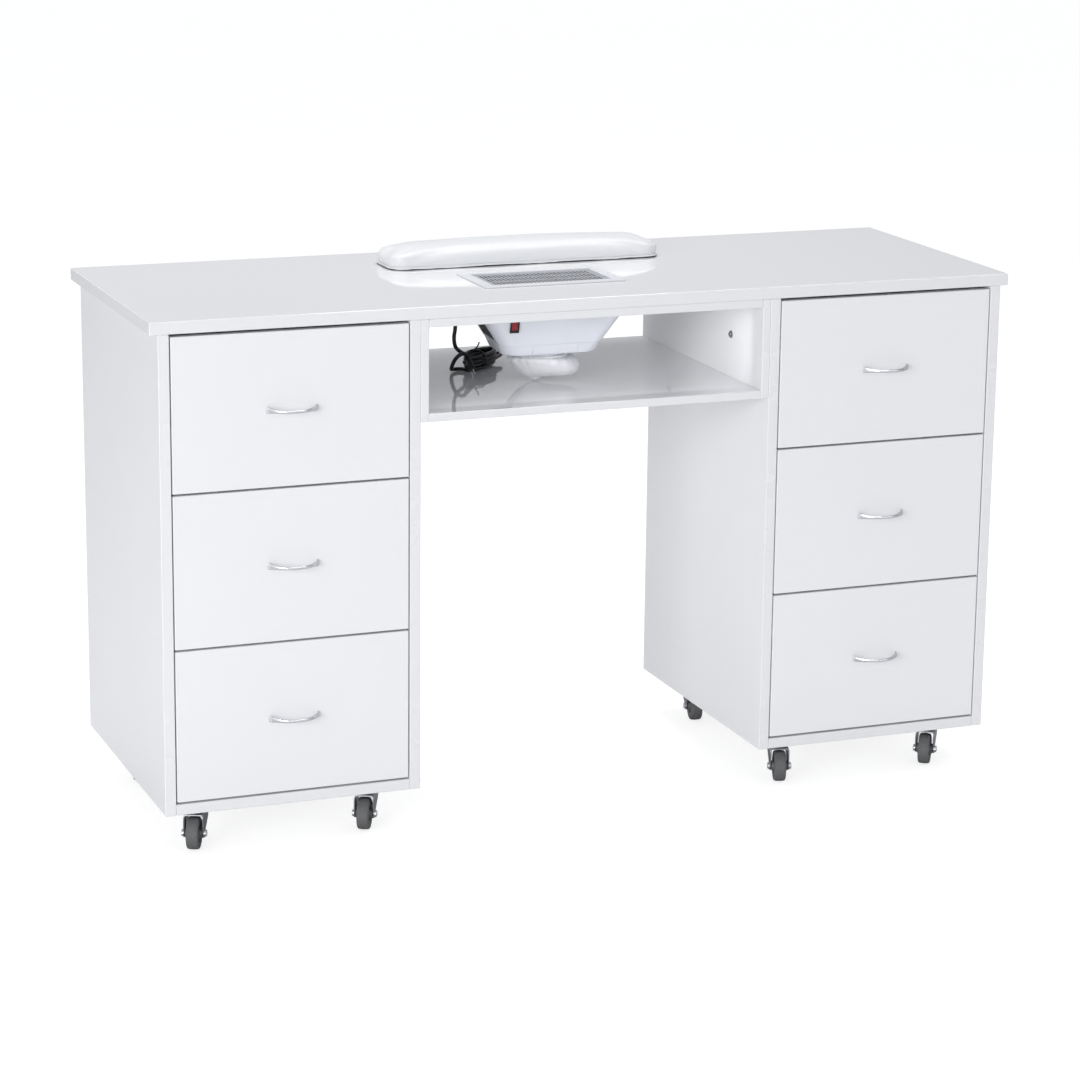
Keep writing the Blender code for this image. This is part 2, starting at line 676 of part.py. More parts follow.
def build_dust_bag():
    """A slack cloth bag: a cuff round the outlet neck, a wide belly and a tied tail."""
    rest = SHELF_TOP + GAP
    belly = SHELF_TOP + BAG_CLEARANCE
    neck_end = housing_sections()[-1][0]
    cuff = NECK_RADIUS + 0.0006
    outer = cuff + 0.003
    cuff_top = neck_end + 0.0080
    tail = 0.006

    def ring(share, z, fullness):
        """share 0 follows the neck and share 1 the belly."""
        half = [outer * (1 - share) + side * share * fullness for side in BAG_HALF]
        shift = BAG_OFFSET * share
        return [Vector((p.x * half[0] + shift.x, p.y * half[1] + shift.y, z))
                for p in disc_loop(1.0, 0.0, 24)]

    def tail_ring(radius, z):
        return [p + BAG_TAIL_OFFSET.to_3d() for p in disc_loop(radius, z, 24)]

    loops = [disc_loop(cuff, neck_end - 0.0006, 24), disc_loop(cuff, cuff_top, 24)]
    loops += [ring(0.0, cuff_top, 1.0), ring(0.6, cuff_top - 0.0010, 1.0),
              ring(1.0, cuff_top - 0.0070, 1.0), ring(1.0, belly + 0.0110, 0.99),
              ring(1.0, belly + 0.0040, 0.90), ring(1.0, belly, 0.70),
              tail_ring(tail * 2, belly - 0.0010), tail_ring(tail, belly - 0.0030),
              tail_ring(tail, rest)]
    bag = add_object("dust_bag", loft_mesh("dust_bag", loops), white_fabric(), smooth=True)
    bag.location = (*VENT_CENTRE, 0)


def smooth_path(points, steps):
    """Points along a curve that passes through every given point (Catmull-Rom)."""
    path = []
    padded = [points[0] * 2 - points[1], *points, points[-1] * 2 - points[-2]]
    for a, b, c, d in zip(padded, padded[1:], padded[2:], padded[3:]):
        for i in range(steps):
            t = i / steps
            path.append(0.5 * (2 * b + (c - a) * t + (2 * a - 5 * b + 4 * c - d) * t * t
                               + (3 * b - a - 3 * c + d) * t ** 3))
    path.append(points[-1])
    return path


def tube_mesh(name, path, radii, sides):
    """A round tube along a path, its section carried from point to point without twist."""
    tangents = []
    for i in range(len(path)):
        ahead = path[min(i + 1, len(path) - 1)]
        behind = path[max(i - 1, 0)]
        tangents.append((ahead - behind).normalized())
    across = tangents[0].orthogonal().normalized()
    loops = []
    for point, tangent, radius in zip(path, tangents, radii):
        across = (across - tangent * across.dot(tangent)).normalized()
        other = tangent.cross(across)
        loops.append([point + (across * math.cos(a) + other * math.sin(a)) * radius
                      for a in (2 * math.pi * j / sides for j in range(sides))])
    return loft_mesh(name, loops)


def build_power_cord():
    """From the back of the housing down to the shelf, turns laid on each other, a loop, the plug."""
    lie = SHELF_TOP + GAP + CORD_RADIUS
    coil_centre = Vector((-0.0806, 0.0566, lie))
    coil_half = (0.038, 0.014)
    coil_turn = Matrix.Rotation(math.radians(40), 3, "Z")
    wall_top, _, wall_half, _ = housing_sections()[3]
    back_wall = VENT_CENTRE.y + wall_half + GAP
    entry = Vector((-0.104, back_wall, wall_top - CORD_RADIUS - GAP))
    feed = [entry, entry + Vector((-0.003, 0.009, 0))]
    feed += [coil_centre + Vector(offset) for offset in (
        (-0.0374, -0.0190, 0.1065), (-0.0454, -0.0170, 0.0865), (-0.0469, -0.0190, 0.0645),
        (-0.0489, -0.0195, 0.0485), (-0.0444, -0.0180, 0.0335), (-0.0364, -0.0145, 0.0255))]
    coil = []
    turns, per_turn = 2.875, 16
    first_angle = 0.75 * math.pi
    rise_per_turn = 0.0070
    for i in range(int(turns * per_turn) + 1):
        angle = first_angle - 2 * math.pi * i / per_turn
        rise = rise_per_turn * (turns - i / per_turn)
        flat = Vector((coil_half[0] * math.cos(angle), coil_half[1] * math.sin(angle), 0))
        coil.append(coil_centre + coil_turn @ flat + Vector((0, 0, rise)))
    loop = [coil_centre + Vector(offset) for offset in (
        (-0.0344, -0.0175, 0.0), (-0.0419, -0.0145, 0.0), (-0.0504, -0.0190, 0.0015),
        (-0.0559, -0.0265, 0.0035), (-0.0584, -0.0350, 0.0115), (-0.0564, -0.0425, 0.0230),
        (-0.0494, -0.0450, 0.0320), (-0.0414, -0.0428, 0.0335), (-0.0364, -0.0412, 0.0290))]
    path = smooth_path([*feed, *coil, *loop], 2)
    radii = [CORD_RADIUS] * len(path)
    plug_start = path[-1]
    ahead = Vector((0.15, -0.90, -1.0)).normalized()
    for distance, radius in ((0.003, 0.0044), (0.012, 0.0052), (0.014, PLUG_RADIUS),
                             (0.026, PLUG_RADIUS), (0.028, PLUG_RADIUS - 0.0014)):
        path.append(plug_start + ahead * distance)
        radii.append(radius)
    add_object("power_cord", tube_mesh("power_cord", path, radii, 7), black_plastic(),
               smooth=True)


# ---------------------------------------------------------------- armrest
def build_armrest():
    half = (ARMREST_SIZE[0] / 2, ARMREST_SIZE[1] / 2)
    base_low = TABLE_HEIGHT + GAP
    base_high = base_low + ARMREST_BASE - GAP
    base_inset, base_radius = 0.002, 0.026
    base_half = (half[0] - base_inset, half[1] - base_inset)
    base = [rounded_loop(ARMREST_CENTRE, base_half, base_radius, z) for z in (base_low, base_high)]
    add_object("armrest_base", loft_mesh("armrest_base", base), black_plastic())

    low = base_high + GAP
    crown = TABLE_HEIGHT + ARMREST_HEIGHT - low
    side_radius, top_radius, corner_steps = 0.028, 0.007, 5
    sections = ((0, 0.003), (0.14, 0.0), (0.48, 0.0), (0.72, 0.005), (0.88, 0.015),
                (0.97, 0.030), (1.0, 0.042))    # share of the crown's height, inset
    loops = []
    for share, inset in sections:
        size = (half[0] - inset, half[1] - inset)
        radius = max(side_radius - inset / 2, top_radius)
        loop = with_side_points(rounded_loop(ARMREST_CENTRE, size, radius, low, corner_steps),
                                corner_steps, ARMREST_SIDE_POINTS)
        for point in loop:
            outwards = (point.x - ARMREST_CENTRE.x) / half[0]
            point.z += share * (crown - ARMREST_ARCH * outwards ** 2)
        loops.append(loop)
    add_object("armrest_cushion", loft_mesh("armrest_cushion", loops), white_leatherette(),
               smooth=True)


# ---------------------------------------------------------------- casters
def fork_mesh():
    """Crown, two tapered legs, bearing collar, swivel stem and axle bolt, about the swivel."""
    crown_low = 2 * WHEEL_RADIUS + FORK_CLEARANCE
    crown_top = crown_low + FORK_PLATE
    half = FORK_WIDTH / 2
    axle_y, axle_z = -CASTER_TRAIL, WHEEL_RADIUS
    eye, head_radius = 0.0065, 0.0052
    leg = [(0.014, crown_top - 0.0004), (-0.026, crown_top - 0.0004), (-0.027, crown_low - 0.006),
           (axle_y - eye, axle_z), (axle_y - eye / 2, axle_z - 0.006),
           (axle_y + eye / 2, axle_z - 0.006), (axle_y + eye, axle_z), (0.014, crown_low - 0.012)]
    crown = [(half, -0.024), (half - 0.003, -0.027), (-half + 0.003, -0.027), (-half, -0.024),
             (-half, 0.012), (-half + 0.005, 0.017), (half - 0.005, 0.017), (half, 0.012)]
    pieces = [extrude_outline("crown", crown, crown_low, crown_top, "Z"),
              extrude_outline("leg_a", leg, half - FORK_PLATE, half - 0.0001, "X"),
              extrude_outline("leg_b", leg, -half + 0.0001, -half + FORK_PLATE, "X"),
              rod_mesh("collar", COLLAR_RADIUS, crown_low + 0.0005, CARCASS_BOTTOM - 0.0005, 20),
              rod_mesh("stem", STEM_RADIUS, crown_top, CARCASS_BOTTOM + STEM_LENGTH, 12)]
    end = AXLE_LENGTH / 2
    for mesh in (rod_mesh("bolt", AXLE_RADIUS, -end, end, 10, "X"),
                 rod_mesh("head", head_radius, half - 0.0005, end - 0.0004, 6, "X"),
                 rod_mesh("nut", head_radius, -end + 0.0004, -half + 0.0005, 6, "X")):
        mesh.transform(Matrix.Translation((0, axle_y, axle_z)))
        pieces.append(mesh)
    return union_mesh("caster_fork", pieces)


def wheel_mesh():
    """Tyre and hub in one solid about the X axis, with a bore for the axle."""
    half_profile = [(BORE_RADIUS, HUB_WIDTH / 2), (HUB_RADIUS, HUB_WIDTH / 2),
                    (HUB_RADIUS + 0.002, WHEEL_WIDTH / 2), (WHEEL_RADIUS - 0.002, WHEEL_WIDTH / 2),
                    (WHEEL_RADIUS, WHEEL_WIDTH / 2 - 0.0035)]
    other_half = [(r, -x) for r, x in reversed(half_profile)]
    return lathe_mesh("caster_wheel", half_profile + other_half, 20, "X")


def build_casters():
    fork = fork_mesh()
    wheel = wheel_mesh()
    for side in SIDES:
        for (end, row), (x, y) in stem_places(side).items():
            place = f"{side}_{end}_{row}"
            swivel = add_empty(f"caster_{place}", (x, y, 0),
                               (0, 0, math.radians(CASTER_TURN[place])))
            fork_obj = add_object(f"caster_fork_{place}", fork, zinc(), smooth=True)
            fork_obj.parent = swivel
            wheel_obj = add_object(f"caster_wheel_{place}", wheel, grey_rubber(), smooth=True)
            wheel_obj.parent = swivel
            wheel_obj.location = (0, -CASTER_TRAIL, WHEEL_RADIUS)


# ---------------------------------------------------------------- assembly
def set_back():
    """Moves everything so that the origin is under the middle of the whole table."""
    for obj in bpy.data.objects:
        if obj.parent is None:
            obj.location.y += TABLE_SET_BACK


def build():
    clear_scene()
    build_tabletop()
    for side in SIDES:
        build_pedestal(side)
    build_centre_box()
    handle = handle_mesh()
    for side in SIDES:
        for row in DRAWER_ROWS:
            build_drawer(side, row, handle)
    build_vent_frame()
    build_vent_grille()
    build_housing()
    build_side_vent()
    build_switch()
    build_fan()
    build_dust_bag()
    build_power_cord()
    build_armrest()
    build_casters()
    set_back()


build()
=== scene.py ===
"""Looks of the manicure table: materials, soft pieces, fittings, light and camera.

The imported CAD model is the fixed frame. Sizes are in metres in the frame's axes: +X to the right
of someone facing the drawers, +Y towards the armrest side, +Z up, with the floor at 0.
"""
import json
import math

import bmesh
import bpy
from mathutils import Matrix, Vector, noise


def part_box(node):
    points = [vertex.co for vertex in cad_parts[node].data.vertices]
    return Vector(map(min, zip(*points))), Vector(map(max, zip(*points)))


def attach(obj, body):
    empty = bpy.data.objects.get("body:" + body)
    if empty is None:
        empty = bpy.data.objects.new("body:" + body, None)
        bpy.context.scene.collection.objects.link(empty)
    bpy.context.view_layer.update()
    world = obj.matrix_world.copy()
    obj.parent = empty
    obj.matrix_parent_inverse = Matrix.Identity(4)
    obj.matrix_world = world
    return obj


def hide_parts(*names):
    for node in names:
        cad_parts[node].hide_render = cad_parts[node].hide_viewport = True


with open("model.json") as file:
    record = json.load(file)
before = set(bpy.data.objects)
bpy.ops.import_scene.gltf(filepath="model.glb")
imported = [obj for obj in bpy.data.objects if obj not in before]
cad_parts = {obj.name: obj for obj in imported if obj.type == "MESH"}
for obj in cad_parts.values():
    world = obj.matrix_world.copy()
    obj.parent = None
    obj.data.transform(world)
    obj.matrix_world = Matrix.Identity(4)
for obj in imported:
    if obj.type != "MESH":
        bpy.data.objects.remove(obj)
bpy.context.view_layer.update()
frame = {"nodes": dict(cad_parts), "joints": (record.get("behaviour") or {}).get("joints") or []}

NODES = frame["nodes"]
JOINTS = {joint["name"]: joint for joint in frame["joints"]}
ROOT = "table_frame"
SIDES = ("left", "right")
ROWS = ("bottom", "middle", "top")
GAP = 0.0003                    # between a piece and the face it rests on
EXTRACTOR = Vector(JOINTS["fan_spin"]["pos_m"])     # on the axis of the fan and the housing
TOP_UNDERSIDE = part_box("tabletop")[0].z
SHELF_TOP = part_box("centre_shelf")[1].z


# ---------------------------------------------------------------- node materials
class Nodes:
    """A node tree with short ways to add nodes to it."""

    def __init__(self, tree):
        self.tree = tree

    def add(self, kind, **settings):
        node = self.tree.nodes.new(kind)
        for key, value in settings.items():
            setattr(node, key, value)
        return node

    def put(self, node, name, value):
        """Gives an input a value, or joins it to an output."""
        socket = node.inputs[name]
        if isinstance(value, bpy.types.NodeSocket):
            self.tree.links.new(value, socket)
        elif isinstance(value, tuple) and len(value) == 3 and socket.type == "RGBA":
            socket.default_value = (*value, 1.0)
        else:
            socket.default_value = value

    def math(self, operation, a, b=0.0):
        node = self.add("ShaderNodeMath", operation=operation)
        self.put(node, 0, a)
        self.put(node, 1, b)
        return node.outputs[0]

    def spread(self, value, low, high, start=0.0, end=1.0):
        """Maps start..end to low..high, held at both ends."""
        node = self.add("ShaderNodeMapRange", clamp=True)
        for name, number in (("Value", value), ("From Min", start), ("From Max", end),
                             ("To Min", low), ("To Max", high)):
            self.put(node, name, number)
        return node.outputs[0]

    def mix(self, share, a, b):
        node = self.add("ShaderNodeMix", data_type="RGBA")
        self.put(node, 0, share)
        for index, color in ((6, a), (7, b)):
            self.put(node, index, color)
        return node.outputs[2]


class Shader(Nodes):
    """A node material around one Principled shader."""

    def __init__(self, name):
        self.material = bpy.data.materials.new(name)
        self.material.use_nodes = True
        super().__init__(self.material.node_tree)
        self.surface = self.tree.nodes["Principled BSDF"]
        self.coordinates = self.add("ShaderNodeTexCoord")
        self.place = self.coordinates.outputs["Object"]

    def set(self, **values):
        """Inputs of the Principled shader, named with _ for a space."""
        for key, value in values.items():
            self.put(self.surface, key.replace("_", " "), value)

    def noise(self, scale, detail=3.0, roughness=0.5, place=None):
        node = self.add("ShaderNodeTexNoise")
        self.put(node, "Vector", place or self.place)
        self.put(node, "Scale", scale)
        self.put(node, "Detail", detail)
        self.put(node, "Roughness", roughness)
        return node.outputs[0]

    def cells(self, scale, feature="F1"):
        node = self.add("ShaderNodeTexVoronoi", feature=feature)
        self.put(node, "Vector", self.place)
        self.put(node, "Scale", scale)
        return node.outputs["Distance"]

    def stretched(self, x, y, z):
        node = self.add("ShaderNodeMapping")
        self.put(node, "Vector", self.place)
        self.put(node, "Scale", (x, y, z))
        return node.outputs[0]

    def bump(self, height, distance, strength=1.0, under=None):
        node = self.add("ShaderNodeBump")
        self.put(node, "Height", height)
        self.put(node, "Distance", distance)
        self.put(node, "Strength", strength)
        if under is not None:
            self.put(node, "Normal", under)
        return node.outputs[0]


def shade(color, factor):
    return tuple(min(1.0, channel * factor) for channel in color)


def laminate(axis):
    """Glossy white board whose thin direction is axis: smooth faces and banded edges."""
    s = Shader(f"glossy_laminate_{axis}")
    index = "XYZ".index(axis)
    face, band = (0.880, 0.884, 0.900), (0.845, 0.850, 0.868)

    def along(output):
        parts = s.add("ShaderNodeSeparateXYZ")
        s.put(parts, 0, s.coordinates.outputs[output])
        return parts.outputs[index]

    facing = s.math("ABSOLUTE", along("Normal"))
    on_edge = s.math("LESS_THAN", facing, 0.6)
    from_middle = s.math("ABSOLUTE", s.math("SUBTRACT", along("Generated"), 0.5))
    at_arris = s.math("GREATER_THAN", from_middle, 0.445)
    glue_line = s.math("MULTIPLY", on_edge, s.math("MULTIPLY", at_arris, 0.35))
    handling = s.spread(s.noise(2.4, 4.0), 0.975, 1.0, 0.35, 0.65)
    color = s.mix(on_edge, face, band)
    color = s.mix(glue_line, color, shade(band, 0.72))
    color = s.mix(s.math("SUBTRACT", 1.0, handling), color, shade(face, 0.60))
    polish = 0.035 if axis == "Z" else 0.10
    smears = s.spread(s.noise(7.0, 5.0, 0.6), polish, polish * 1.7, 0.3, 0.75)
    rough = s.math("ADD", smears, s.math("MULTIPLY", on_edge, 0.14))
    peel = s.bump(s.noise(420.0, 2.0), 0.00002, 0.5)
    s.set(Base_Color=color, Roughness=rough, IOR=1.5, Coat_Weight=0.5 if axis == "Z" else 0.2,
          Coat_Roughness=0.03, Normal=peel)
    return s.material


def melamine():
    """Matt white board of the drawer boxes, with a faint print and small specks."""
    s = Shader("matt_melamine")
    base = (0.80, 0.80, 0.79)
    specks = s.spread(s.noise(900.0, 2.0), 0.0, 0.10, 0.62, 0.75)
    clouds = s.spread(s.noise(5.0, 4.0), 0.0, 0.12, 0.4, 0.8)
    color = s.mix(s.math("ADD", specks, clouds), base, shade(base, 0.75))
    s.set(Base_Color=color, Roughness=s.spread(s.noise(30.0), 0.38, 0.5),
          Normal=s.bump(s.noise(1400.0, 3.0), 0.00004, 0.4))
    return s.material


def metal(name, color, rough, grain=(60.0, 60.0, 60.0), spangle=0.0, tarnish=0.0, rim=0.0):
    """Metal with a drawn grain; zinc spangle, a darker film, and painted shade on rims that turn
    away from the view where asked.
    """
    s = Shader(name)
    streaks = s.noise(1.0, 4.0, 0.6, place=s.stretched(*grain))
    shown = s.mix(s.spread(streaks, 0.0, 0.25, 0.35, 0.75), color, shade(color, 0.70))
    if spangle:
        shown = s.mix(s.spread(s.cells(260.0), 0.0, spangle, 0.1, 0.8), shown, shade(color, 1.25))
    if tarnish:
        film = s.spread(s.noise(90.0, 5.0, 0.65), 0.0, tarnish, 0.48, 0.72)
        shown = s.mix(film, shown, shade(color, 0.35))
    # painted shade: the colour darkens where the surface turns away from the view, for dark
    # reflections along the edges
    if rim:
        turned = s.add("ShaderNodeLayerWeight")
        s.put(turned, "Blend", 0.5)
        shown = s.mix(s.spread(turned.outputs["Facing"], 0.0, rim, 0.35, 0.80), shown,
                      shade(color, 0.18))
    s.set(Base_Color=shown, Metallic=1.0, Roughness=s.spread(streaks, rough, rough + 0.12),
          Normal=s.bump(streaks, 0.00002, 0.35))
    return s.material


def plastic(name, color, rough, texture=900.0, depth=0.00003, coat=0.0):
    """Moulded plastic with a fine skin texture and slight colour clouds."""
    s = Shader(name)
    clouds = s.spread(s.noise(18.0, 4.0), 0.0, 0.22, 0.4, 0.75)
    scuffs = s.spread(s.noise(55.0, 6.0, 0.7), rough, rough + 0.14, 0.45, 0.75)
    s.set(Base_Color=s.mix(clouds, color, shade(color, 0.82)), Roughness=scuffs,
          Coat_Weight=coat, Normal=s.bump(s.noise(texture, 3.0), depth, 0.5))
    return s.material


def rubber(name, color):
    """Matt grey rubber with dust and fine scratches from the floor."""
    s = Shader(name)
    dust = s.spread(s.noise(160.0, 6.0, 0.7), 0.0, 0.35, 0.45, 0.8)
    scratches = s.noise(1.0, 3.0, place=s.stretched(900.0, 140.0, 140.0))
    s.set(Base_Color=s.mix(dust, color, shade(color, 1.7)),
          Roughness=s.spread(scratches, 0.55, 0.78),
          Normal=s.bump(scratches, 0.00006, 0.5))
    return s.material


def leatherette():
    """White coated cloth: small pebbled grain with fine creases and a soft sheen."""
    s = Shader("white_leatherette")
    base = (0.740, 0.748, 0.766)
    pebbles = s.cells(900.0, "SMOOTH_F1")
    creases = s.noise(1.0, 4.0, 0.6, place=s.stretched(70.0, 190.0, 70.0))
    color = s.mix(s.spread(pebbles, 0.0, 0.10, 0.3, 0.8), base, shade(base, 0.78))
    color = s.mix(s.spread(creases, 0.0, 0.07, 0.55, 0.75), color, shade(base, 0.70))
    fine = s.bump(pebbles, 0.00006, 0.6)
    s.set(Base_Color=color, Roughness=s.spread(creases, 0.34, 0.46), Sheen_Weight=0.12,
          Coat_Weight=0.10, Coat_Roughness=0.3,
          Normal=s.bump(creases, 0.00012, 0.25, under=fine))
    return s.material


def woven_cloth():
    """Plain weave: two crossed thread directions, with soft colour variation."""
    s = Shader("white_bag_cloth")
    base = (0.90, 0.905, 0.93)
    threads = []
    for direction in ("X", "Z"):
        wave = s.add("ShaderNodeTexWave", bands_direction=direction)
        s.put(wave, "Vector", s.place)
        s.put(wave, "Scale", 320.0)
        s.put(wave, "Distortion", 1.2)
        s.put(wave, "Detail Scale", 2.0)
        threads.append(wave.outputs["Fac"])
    weave = s.math("MAXIMUM", *threads)
    clouds = s.spread(s.noise(45.0, 4.0), 0.0, 0.3, 0.4, 0.8)
    color = s.mix(s.spread(weave, 0.22, 0.0), base, shade(base, 0.72))
    color = s.mix(clouds, color, shade(base, 0.92))
    s.set(Base_Color=color, Roughness=0.82, Sheen_Weight=0.3,
          Normal=s.bump(weave, 0.00018, 0.6))
    return s.material


def felt():
    """Pale grey filter felt: matted short fibres."""
    s = Shader("grey_filter_felt")
    base = (0.42, 0.42, 0.44)
    fibres = s.noise(1.0, 5.0, 0.7, place=s.stretched(1500.0, 600.0, 600.0))
    s.set(Base_Color=s.mix(s.spread(fibres, 0.0, 1.0, 0.35, 0.65), base, shade(base, 0.72)),
          Roughness=0.92, Normal=s.bump(fibres, 0.0003, 0.7))
    return s.material


MATERIALS = {
    "melamine": melamine(),
    "chrome": metal("satin_chrome", (0.88, 0.89, 0.92), 0.13, (500.0, 25.0, 25.0), rim=0.75),
    # painted shade: the zinc's colour is set darker than bright zinc, for the shade the forks sit
    # in under the pedestals
    "zinc": metal("zinc_plate", (0.30, 0.31, 0.33), 0.27, (80.0, 80.0, 300.0), 0.30, 0.45),
    "bolt": metal("bright_bolt", (0.70, 0.71, 0.74), 0.20, (300.0, 90.0, 90.0), 0.2, 0.15),
    "cam": metal("nickel_bolt", (0.46, 0.46, 0.48), 0.28, (260.0, 90.0, 90.0), 0.2, 0.3, 0.7),
    "grille": metal("perforated_steel", (0.56, 0.57, 0.60), 0.42, (700.0, 40.0, 40.0), 0.0, 0.1),
    "runner": metal("galvanised_steel", (0.58, 0.59, 0.60), 0.30, (60.0, 9.0, 400.0), 0.4, 0.2),
    "motor": metal("cast_motor_can", (0.36, 0.36, 0.37), 0.42, (150.0, 150.0, 150.0), 0.0, 0.5),
    "white_plastic": plastic("white_moulding", (0.79, 0.81, 0.87), 0.28, coat=0.15),
    "bezel": plastic("pale_bezel", (0.72, 0.73, 0.76), 0.32, coat=0.1),
    "black_plastic": plastic("black_moulding", (0.014, 0.014, 0.015), 0.30),
    "dark_plastic": plastic("dark_grey_moulding", (0.040, 0.040, 0.045), 0.45, 600.0, 0.00008),
    "cord": plastic("cord_sheath", (0.011, 0.011, 0.012), 0.34, 300.0, 0.00006),
    "red_plastic": plastic("red_rocker", (0.34, 0.008, 0.016), 0.24, coat=0.3),
    "hub": plastic("grey_hub", (0.13, 0.13, 0.135), 0.40, 500.0, 0.00006),
    "rubber": rubber("grey_rubber", (0.118, 0.118, 0.122)),
    "leatherette": leatherette(),
    "cloth": woven_cloth(),
    "filter": felt(),
}
for board_axis in "XYZ":
    MATERIALS[board_axis] = laminate(board_axis)


# ---------------------------------------------------------------- mesh tools
def mesh_from(name, points, faces):
    mesh = bpy.data.meshes.new(name)
    mesh.from_pydata([tuple(p) for p in points], [], faces)
    mesh.update()
    return mesh


def outwards(mesh):
    work = bmesh.new()
    work.from_mesh(mesh)
    bmesh.ops.recalc_face_normals(work, faces=work.faces)
    work.to_mesh(mesh)
    work.free()
    return mesh


def loft(name, loops, closed=False, caps=True):
    """Skin over equally long loops of points; closed joins the last loop to the first."""
    count = len(loops[0])
    faces = []
    for i in range(len(loops) if closed else len(loops) - 1):
        low, high = i * count, (i + 1) % len(loops) * count
        for j in range(count):
            k = (j + 1) % count
            faces.append((low + j, low + k, high + k, high + j))
    if caps and not closed:
        faces.append(tuple(reversed(range(count))))
        faces.append(tuple(range((len(loops) - 1) * count, len(loops) * count)))
    return outwards(mesh_from(name, [p for loop in loops for p in loop], faces))


def circle(count):
    """Cosine and sine of evenly spaced angles round a full turn."""
    angles = (2 * math.pi * i / count for i in range(count))
    return [(math.cos(a), math.sin(a)) for a in angles]


def lathe(name, profile, segments, axis="Z"):
    """A closed profile of (radius, height) turned about an axis."""
    loops = []
    for c, s in circle(segments):
        if axis == "Z":
            loops.append([Vector((r * c, r * s, h)) for r, h in profile])
        else:
            loops.append([Vector((h, r * c, r * s)) for r, h in profile])
    return loft(name, loops, closed=True)


def disc(radius, height, segments, axis="Z"):
    """The points of a circle across the Z or the X axis."""
    flat = [(radius * c, radius * s) for c, s in circle(segments)]
    return [Vector((a, b, height)) if axis == "Z" else Vector((height, a, b)) for a, b in flat]


def rectangle(low_x, low_y, high_x, high_y):
    return [(low_x, low_y), (high_x, low_y), (high_x, high_y), (low_x, high_y)]


def prism(name, outline, start, end, axis):
    """An outline of two coordinates pushed along X, Y or Z."""
    def place(p, depth):
        return {"X": (depth, p[0], p[1]), "Y": (p[0], depth, p[1]), "Z": (p[0], p[1], depth)}[axis]
    return loft(name, [[Vector(place(p, depth)) for p in outline] for depth in (start, end)])


def rounded(mesh, width, segments=3, sharper_than=30.0):
    """Rolls every edge that is sharper than an angle in degrees."""
    work = bmesh.new()
    work.from_mesh(mesh)
    limit = math.radians(sharper_than)
    edges = [e for e in work.edges if len(e.link_faces) == 2 and e.calc_face_angle(0.0) > limit]
    bmesh.ops.bevel(work, geom=edges, offset=width, segments=segments, profile=0.5,
                    affect="EDGES", clamp_overlap=True)
    work.to_mesh(mesh)
    work.free()
    return mesh


def joined(name, meshes):
    work = bmesh.new()
    for mesh in meshes:
        work.from_mesh(mesh)
    result = bpy.data.meshes.new(name)
    work.to_mesh(result)
    work.free()
    return result


def moved(mesh, matrix):
    copy = mesh.copy()
    copy.transform(matrix)
    return copy


def placed(place, angle=0.0, axis="Z"):
    """A turn about one axis through the origin, then a move to a place."""
    return Matrix.Translation(place) @ Matrix.Rotation(angle, 4, axis)


def add_object(name, data):
    obj = bpy.data.objects.new(name, data)
    bpy.context.scene.collection.objects.link(obj)
    return obj


def modifier(obj, kind, **settings):
    added = obj.modifiers.new(kind.lower(), kind)
    for key, value in settings.items():
        setattr(added, key, value)
    return added


def evaluated_mesh(obj):
    """The mesh that an object's modifiers make."""
    return bpy.data.meshes.new_from_object(
        obj.evaluated_get(bpy.context.evaluated_depsgraph_get()))


def boolean(mesh, other, operation):
    """The mesh after one exact boolean with another."""
    pair = [add_object("boolean", source) for source in (mesh, other)]
    modifier(pair[0], "BOOLEAN", operation=operation, object=pair[1], solver="EXACT")
    bpy.context.view_layer.update()
    result = evaluated_mesh(pair[0])
    for obj in pair:
        bpy.data.objects.remove(obj, do_unlink=True)
    return result


def piece(name, mesh, material, body=ROOT, matrix=None, sharp=32.0):
    """Adds a piece of the object that rides on a body. sharp is the crease angle in degrees."""
    obj = add_object(name, mesh)
    if matrix is not None:
        obj.matrix_world = matrix
    if not mesh.materials:
        mesh.materials.append(MATERIALS[material])
    mesh.shade_smooth()
    mesh.set_sharp_from_angle(angle=math.radians(sharp))
    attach(obj, body)
    return obj


def paint(node, material):
    """Gives a CAD node its finished material."""
    mesh = NODES[node].data
    mesh.materials.clear()
    mesh.materials.append(MATERIALS[material])


def catmull(points, steps):
    """A smooth curve through every point."""
    path = []
    padded = [points[0] * 2 - points[1], *points, points[-1] * 2 - points[-2]]
    for a, b, c, d in zip(padded, padded[1:], padded[2:], padded[3:]):
        for i in range(steps):
            t = i / steps
            path.append(0.5 * (2 * b + (c - a) * t + (2 * a - 5 * b + 4 * c - d) * t * t
                               + (3 * b - a - 3 * c + d) * t ** 3))
    path.append(points[-1])
    return path


def tube(name, path, radius, sides, ring=False):
    """A round tube along a path, carried without twist; ring joins its ends."""
    loops = []
    across = None
    for i, point in enumerate(path):
        if ring:
            tangent = (path[(i + 1) % len(path)] - path[i - 1]).normalized()
        else:
            ahead, behind = path[min(i + 1, len(path) - 1)], path[max(i - 1, 0)]
            tangent = (ahead - behind).normalized()
        if across is None:
            across = tangent.orthogonal()
        across = (across - tangent * across.dot(tangent)).normalized()
        other = tangent.cross(across)
        loops.append([point + (across * c + other * s) * radius for c, s in circle(sides)])
    return loft(name, loops, closed=ring)


# ---------------------------------------------------------------- boards
def ease_edges(obj, width):
    """Rounds a board's arrises a little, as edge banding does, without touching its mesh."""
    modifier(obj, "WELD", merge_threshold=0.00001)
    modifier(obj, "BEVEL", width=width, segments=2, limit_method="ANGLE",
             angle_limit=math.radians(50), harden_normals=True)


def dress_boards():
    """Each board's laminate knows which way the board is thin."""
    for name, obj in NODES.items():
        if not ("pedestal" in name or name.startswith(("centre_", "drawer_front", "tabletop"))):
            continue
        low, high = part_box(name)
        size = high - low
        paint(name, "XYZ"[min(range(3), key=lambda i: size[i])])
        ease_edges(obj, 0.0005)
    for side in SIDES:
        for row in ROWS:
            paint(f"drawer_box_{side}_{row}", "melamine")


